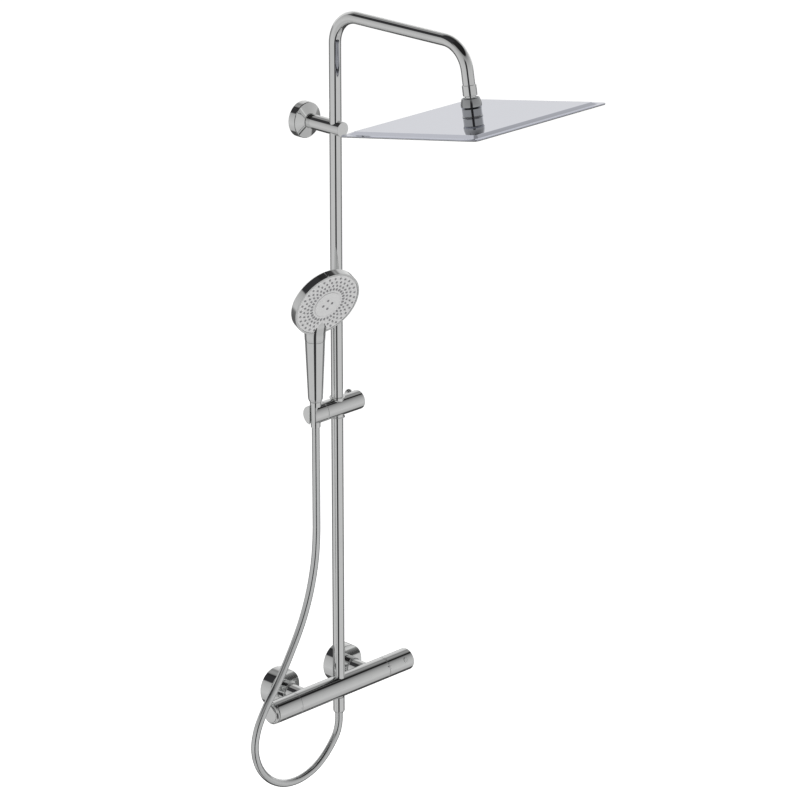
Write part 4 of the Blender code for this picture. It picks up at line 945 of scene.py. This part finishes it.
foot_side = HEAD_SIDE - 2 * HEAD_BORDER
top_side = foot_side - 2 * HEAD_SLOPE
mouth_side = foot_side - 0.004
ROUNDED = 0.0003                 # the sheet's rounded edge
cover = stacked("rain_cover", [
    (mouth_side, 0.0050, -HEAD_RIM), (HEAD_SIDE - 2 * ROUNDED, HEAD_CORNER - ROUNDED, -HEAD_RIM),
    (HEAD_SIDE, HEAD_CORNER, -HEAD_RIM + ROUNDED), (HEAD_SIDE, HEAD_CORNER, -ROUNDED),
    (HEAD_SIDE - 2 * ROUNDED, HEAD_CORNER - ROUNDED, 0), (foot_side + 0.0008, 0.0060, 0),
    (foot_side - 0.0008, 0.0056, 0.0002), (top_side + 0.0012, 0.0046, HEAD_RAISE - 0.0002),
    (top_side - 0.0008, 0.0042, HEAD_RAISE)])
combine(cover, stacked("hollow", [
    (mouth_side, 0.0050, -HEAD_RIM - 0.001), (mouth_side, 0.0050, -HEAD_RIM + 0.0001),
    (top_side - 0.004, 0.0040, HEAD_RAISE - HEAD_RIM)]))
drill(cover, INLET_RADIUS, HEAD_DROP - 0.002, HEAD_DROP + 0.003, at=OUTLET_END, direction=DOWN)
show(cover, MIRROR, "head_cover")

plate_top, plate_foot = -HEAD_RIM - GAP, -HEAD_RIM - GAP - SPRAY_PLATE
plate_side, plate_corner = HEAD_SIDE - 0.0010, HEAD_CORNER - 0.0005
show(stacked("rain_plate", [
    (plate_side - 2 * ROUNDED, plate_corner - ROUNDED, plate_foot),
    (plate_side, plate_corner, plate_foot + ROUNDED), (plate_side, plate_corner, plate_top)]),
    STEEL, "head_spray_plate")
RAIN_ROWS, RAIN_PITCH = 12, 0.0225
middle_row = (RAIN_ROWS - 1) / 2
rain = [((i - middle_row) * RAIN_PITCH, (j - middle_row) * RAIN_PITCH, 0.0, 1.0)
        for i in range(RAIN_ROWS) for j in range(RAIN_ROWS)]
tips = studs("rain_nozzles", rain, [(0.0012, plate_foot - 0.0021), (0.0015, plate_foot - 0.0017),
                                    (0.0021, plate_foot + 0.0003)], 14)
show(in_head(tips), NOZZLE_GREY, body="rain_head")
print("rain head: %.0f mm square," % (HEAD_SIDE * 1000), len(rain), "nozzles")

# %% [markdown]
# ## The hose
# One hose runs from the nut under the mixer, round a loop on the left and up to the cone of the hand shower.
# Its route is a list of chosen points with a smooth curve through them. It is laid in five stretches that meet
# end to end. The first rides with the mixer; each of the others is listed with the two bodies of one joint,
# but is left where it lies and rides with neither.

# %% Lay the hose
HOSE_RADIUS = across("shower_hose", 1)
HOSE_ROUTE = [
    (-0.0502, 0.4450), (-0.0502, 0.4000), (-0.0502, 0.3450), (-0.0505, 0.2950),
    (-0.0540, 0.2520), (-0.0620, 0.2120), (-0.0735, 0.1750), (-0.0900, 0.1370), (-0.1130, 0.0970),
    (-0.1420, 0.0530), (-0.1720, 0.0150), (-0.1920, -0.0200), (-0.1985, -0.0550), (-0.1890, -0.0900),
    (-0.1660, -0.1190), (-0.1340, -0.1375), (-0.0980, -0.1425), (-0.0620, -0.1345), (-0.0330, -0.1160),
    (-0.0095, -0.0900), (-0.0012, -0.0690)]
hose_line = [Vector((CONE_X, AXIS_Y, CONE_FOOT.z - GAP))] + [Vector((x, AXIS_Y, z)) for x, z in HOSE_ROUTE]
hose_line.append(Vector((0, AXIS_Y, NUT_FOOT - 0.0005)))
hose_line = curved(hose_line, fine=14)[::-1]          # from the mixer to the hand shower


def length_of(points):
    return sum((b - a).length for a, b in zip(points, points[1:]))


lowest = min(range(len(hose_line)), key=lambda i: hose_line[i].z)


def first_above(height):
    return next(i for i in range(lowest, len(hose_line)) if hose_line[i].z >= height)


CUT_HEIGHTS = (0.030, 0.243, 0.322, 0.402)       # where one stretch ends and the next begins
marks = [0] + [first_above(height) for height in CUT_HEIGHTS] + [len(hose_line) - 1]
HOSE_STRETCHES = (("hose_under_mixer", None), ("hose_long_run", ("fixed_column", "slider_bushes")),
                  ("hose_below_slider", ("slider_bushes", "slider")),
                  ("hose_below_holder", ("slider", "holder")), ("hose_top", ("holder", "cone_nut")))
for (name, pair), low, high in zip(HOSE_STRETCHES, marks, marks[1:]):
    points = hose_line[low:high + 1]
    piece = settle(swept(name, points, HOSE_RADIUS, 40))
    piece.data.materials.append(HOSE_SILVER)
    if pair:
        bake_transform(piece)
    else:
        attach(piece, "fixed_column")
    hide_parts("shower_hose")
print("hose: %.3f m in %d stretches" % (length_of(hose_line), len(HOSE_STRETCHES)))

# %% [markdown]
# ## Floor, light and surroundings
# Chrome shows its surroundings. Grey walls under a black ceiling, a bright far end, a dark patch high on the
# left and a dark stripe behind the camera give the long reflections of polished tube. They are painted in
# the world by direction only: one ramp for the sides and one for the far end, each from straight down to
# straight up. The floor is pale and far below, because the column hangs on a wall.

# %% Light the scene
FLOOR_Z, FLOOR_HALF = -1.0, 30
shape = bmesh.new()
bmesh.ops.create_grid(shape, x_segments=1, y_segments=1, size=FLOOR_HALF)
floor = place("floor", mesh_from(shape, "floor"), at=(0, 0, FLOOR_Z))
pale = bpy.data.materials.new("pale_floor")
pale.use_nodes = True
for label, value in (("Base Color", (0.92, 0.92, 0.92, 1)), ("Roughness", 0.9),
                     ("Emission Color", (1, 1, 1, 1)), ("Emission Strength", 0.85)):
    pale.node_tree.nodes["Principled BSDF"].inputs[label].default_value = value
floor.data.materials.append(pale)
floor.visible_glossy = False

world = bpy.data.worlds.new("soft_studio")
bpy.context.scene.world = world
world.use_nodes = True
tree = world.node_tree
tree.nodes.clear()


def calc(operation, *values):
    return math_node(tree, operation, *values)


def ramp(value, stops):
    """Brightness by height: stops are (sine of the elevation, brightness)."""
    node = tree.nodes.new('ShaderNodeValToRGB')
    tree.links.new(calc('MULTIPLY_ADD', value, 0.5, 0.5), node.inputs['Fac'])
    while len(node.color_ramp.elements) < len(stops):
        node.color_ramp.elements.new(0.5)
    for element, (sine, bright) in zip(node.color_ramp.elements, stops):
        element.position = (sine + 1) / 2
        element.color = (bright, bright, bright, 1)
    return node.outputs['Color']


def near(cosine, low, high):
    """0 below low, 1 above high, smooth between."""
    node = tree.nodes.new('ShaderNodeMapRange')
    node.interpolation_type = 'SMOOTHSTEP'
    node.inputs['From Min'].default_value, node.inputs['From Max'].default_value = low, high
    tree.links.new(cosine, node.inputs['Value'])
    return node.outputs['Result']


def mixed(factor, a, b):
    node = tree.nodes.new('ShaderNodeMix')
    node.data_type = 'RGBA'
    for label, value in (('Factor', factor), ('A', a), ('B', b)):
        feed(tree, node.inputs[label], value)
    return node.outputs['Result']


split = tree.nodes.new('ShaderNodeSeparateXYZ')
tree.links.new(tree.nodes.new('ShaderNodeTexCoord').outputs['Generated'], split.inputs[0])
x, y, z = split.outputs
level_length = calc('SQRT', calc('MAXIMUM', calc('SUBTRACT', 1.0, calc('MULTIPLY', z, z)), 1e-4))


def level_cosine(towards_x, towards_y):
    """How far the level part of a direction points the given way, from -1 to 1."""
    along = calc('ADD', calc('MULTIPLY', x, towards_x), calc('MULTIPLY', y, towards_y))
    return calc('DIVIDE', along, level_length)


ahead = Vector((looking.x, looking.y)).normalized()
cosine = level_cosine(ahead.x, ahead.y)
left_cosine = level_cosine(-ahead.y, ahead.x)
SIDES = ((-1.0, 0.35), (-0.80, 0.55), (-0.72, 0.46), (-0.60, 0.50), (-0.34, 0.58), (0.04, 0.52), (0.28, 0.46),
         (0.49, 0.37), (0.64, 0.25), (0.685, 0.16), (0.70, 0.012), (1.0, 0.02))
BEYOND = ((-1.0, 0.06), (-0.64, 0.07), (-0.34, 0.18), (-0.08, 0.30), (0.0, 0.72), (0.10, 0.78), (0.38, 0.66),
          (0.55, 0.58), (0.65, 0.22), (0.74, 0.32), (0.80, 0.05), (1.0, 0.02))
DARK_PATCH, DARK_STRIPE = (0.035, 0.035, 0.037, 1), (0.03, 0.03, 0.031, 1)
WIDER = ((-1.0, 0.10), (-0.62, 0.10), (-0.50, 0.34), (-0.15, 0.34), (0.05, 0.0), (1.0, 0.0))
wide_cosine = calc('ADD', cosine, ramp(z, WIDER))      # the far end is wider below than above
around = mixed(near(wide_cosine, 0.56, 0.74), ramp(z, SIDES), ramp(z, BEYOND))
high_left = calc('MULTIPLY', near(left_cosine, 0.80, 0.92), near(z, 0.42, 0.50))
around = mixed(high_left, around, DARK_PATCH)
behind = calc('MULTIPLY', near(calc('MULTIPLY', cosine, -1.0), 0.958, 0.982),
              near(calc('MULTIPLY', z, -1.0), -0.55, -0.35))
around = mixed(behind, around, DARK_STRIPE)
surroundings = tree.nodes.new('ShaderNodeBackground')
tree.links.new(around, surroundings.inputs['Color'])
plain = tree.nodes.new('ShaderNodeBackground')
plain.inputs['Color'].default_value = (1, 1, 1, 1)
choose = tree.nodes.new('ShaderNodeMixShader')
tree.links.new(tree.nodes.new('ShaderNodeLightPath').outputs['Is Camera Ray'], choose.inputs[0])
tree.links.new(surroundings.outputs[0], choose.inputs[1])
tree.links.new(plain.outputs[0], choose.inputs[2])
tree.links.new(choose.outputs[0], tree.nodes.new('ShaderNodeOutputWorld').inputs['Surface'])


def soft_light(name, at, aim, size, power):
    lamp = bpy.data.lights.new(name, 'AREA')
    lamp.shape, lamp.size, lamp.energy = 'SQUARE', size, power
    made = bpy.data.objects.new(name, lamp)
    bpy.context.scene.collection.objects.link(made)
    made.location = at
    made.rotation_euler = (Vector(aim) - Vector(at)).to_track_quat('-Z', 'Y').to_euler()
    made.visible_glossy = False


soft_light("key", (-2.6, -3.0, 3.2), (0, -0.2, 0.6), 2.2, 150)
soft_light("fill", (3.0, -2.2, 1.2), (0, -0.2, 0.5), 2.5, 60)
bpy.context.scene.view_settings.view_transform = 'Standard'
print("world: two brightness ramps, two dark patches and 2 soft lights")
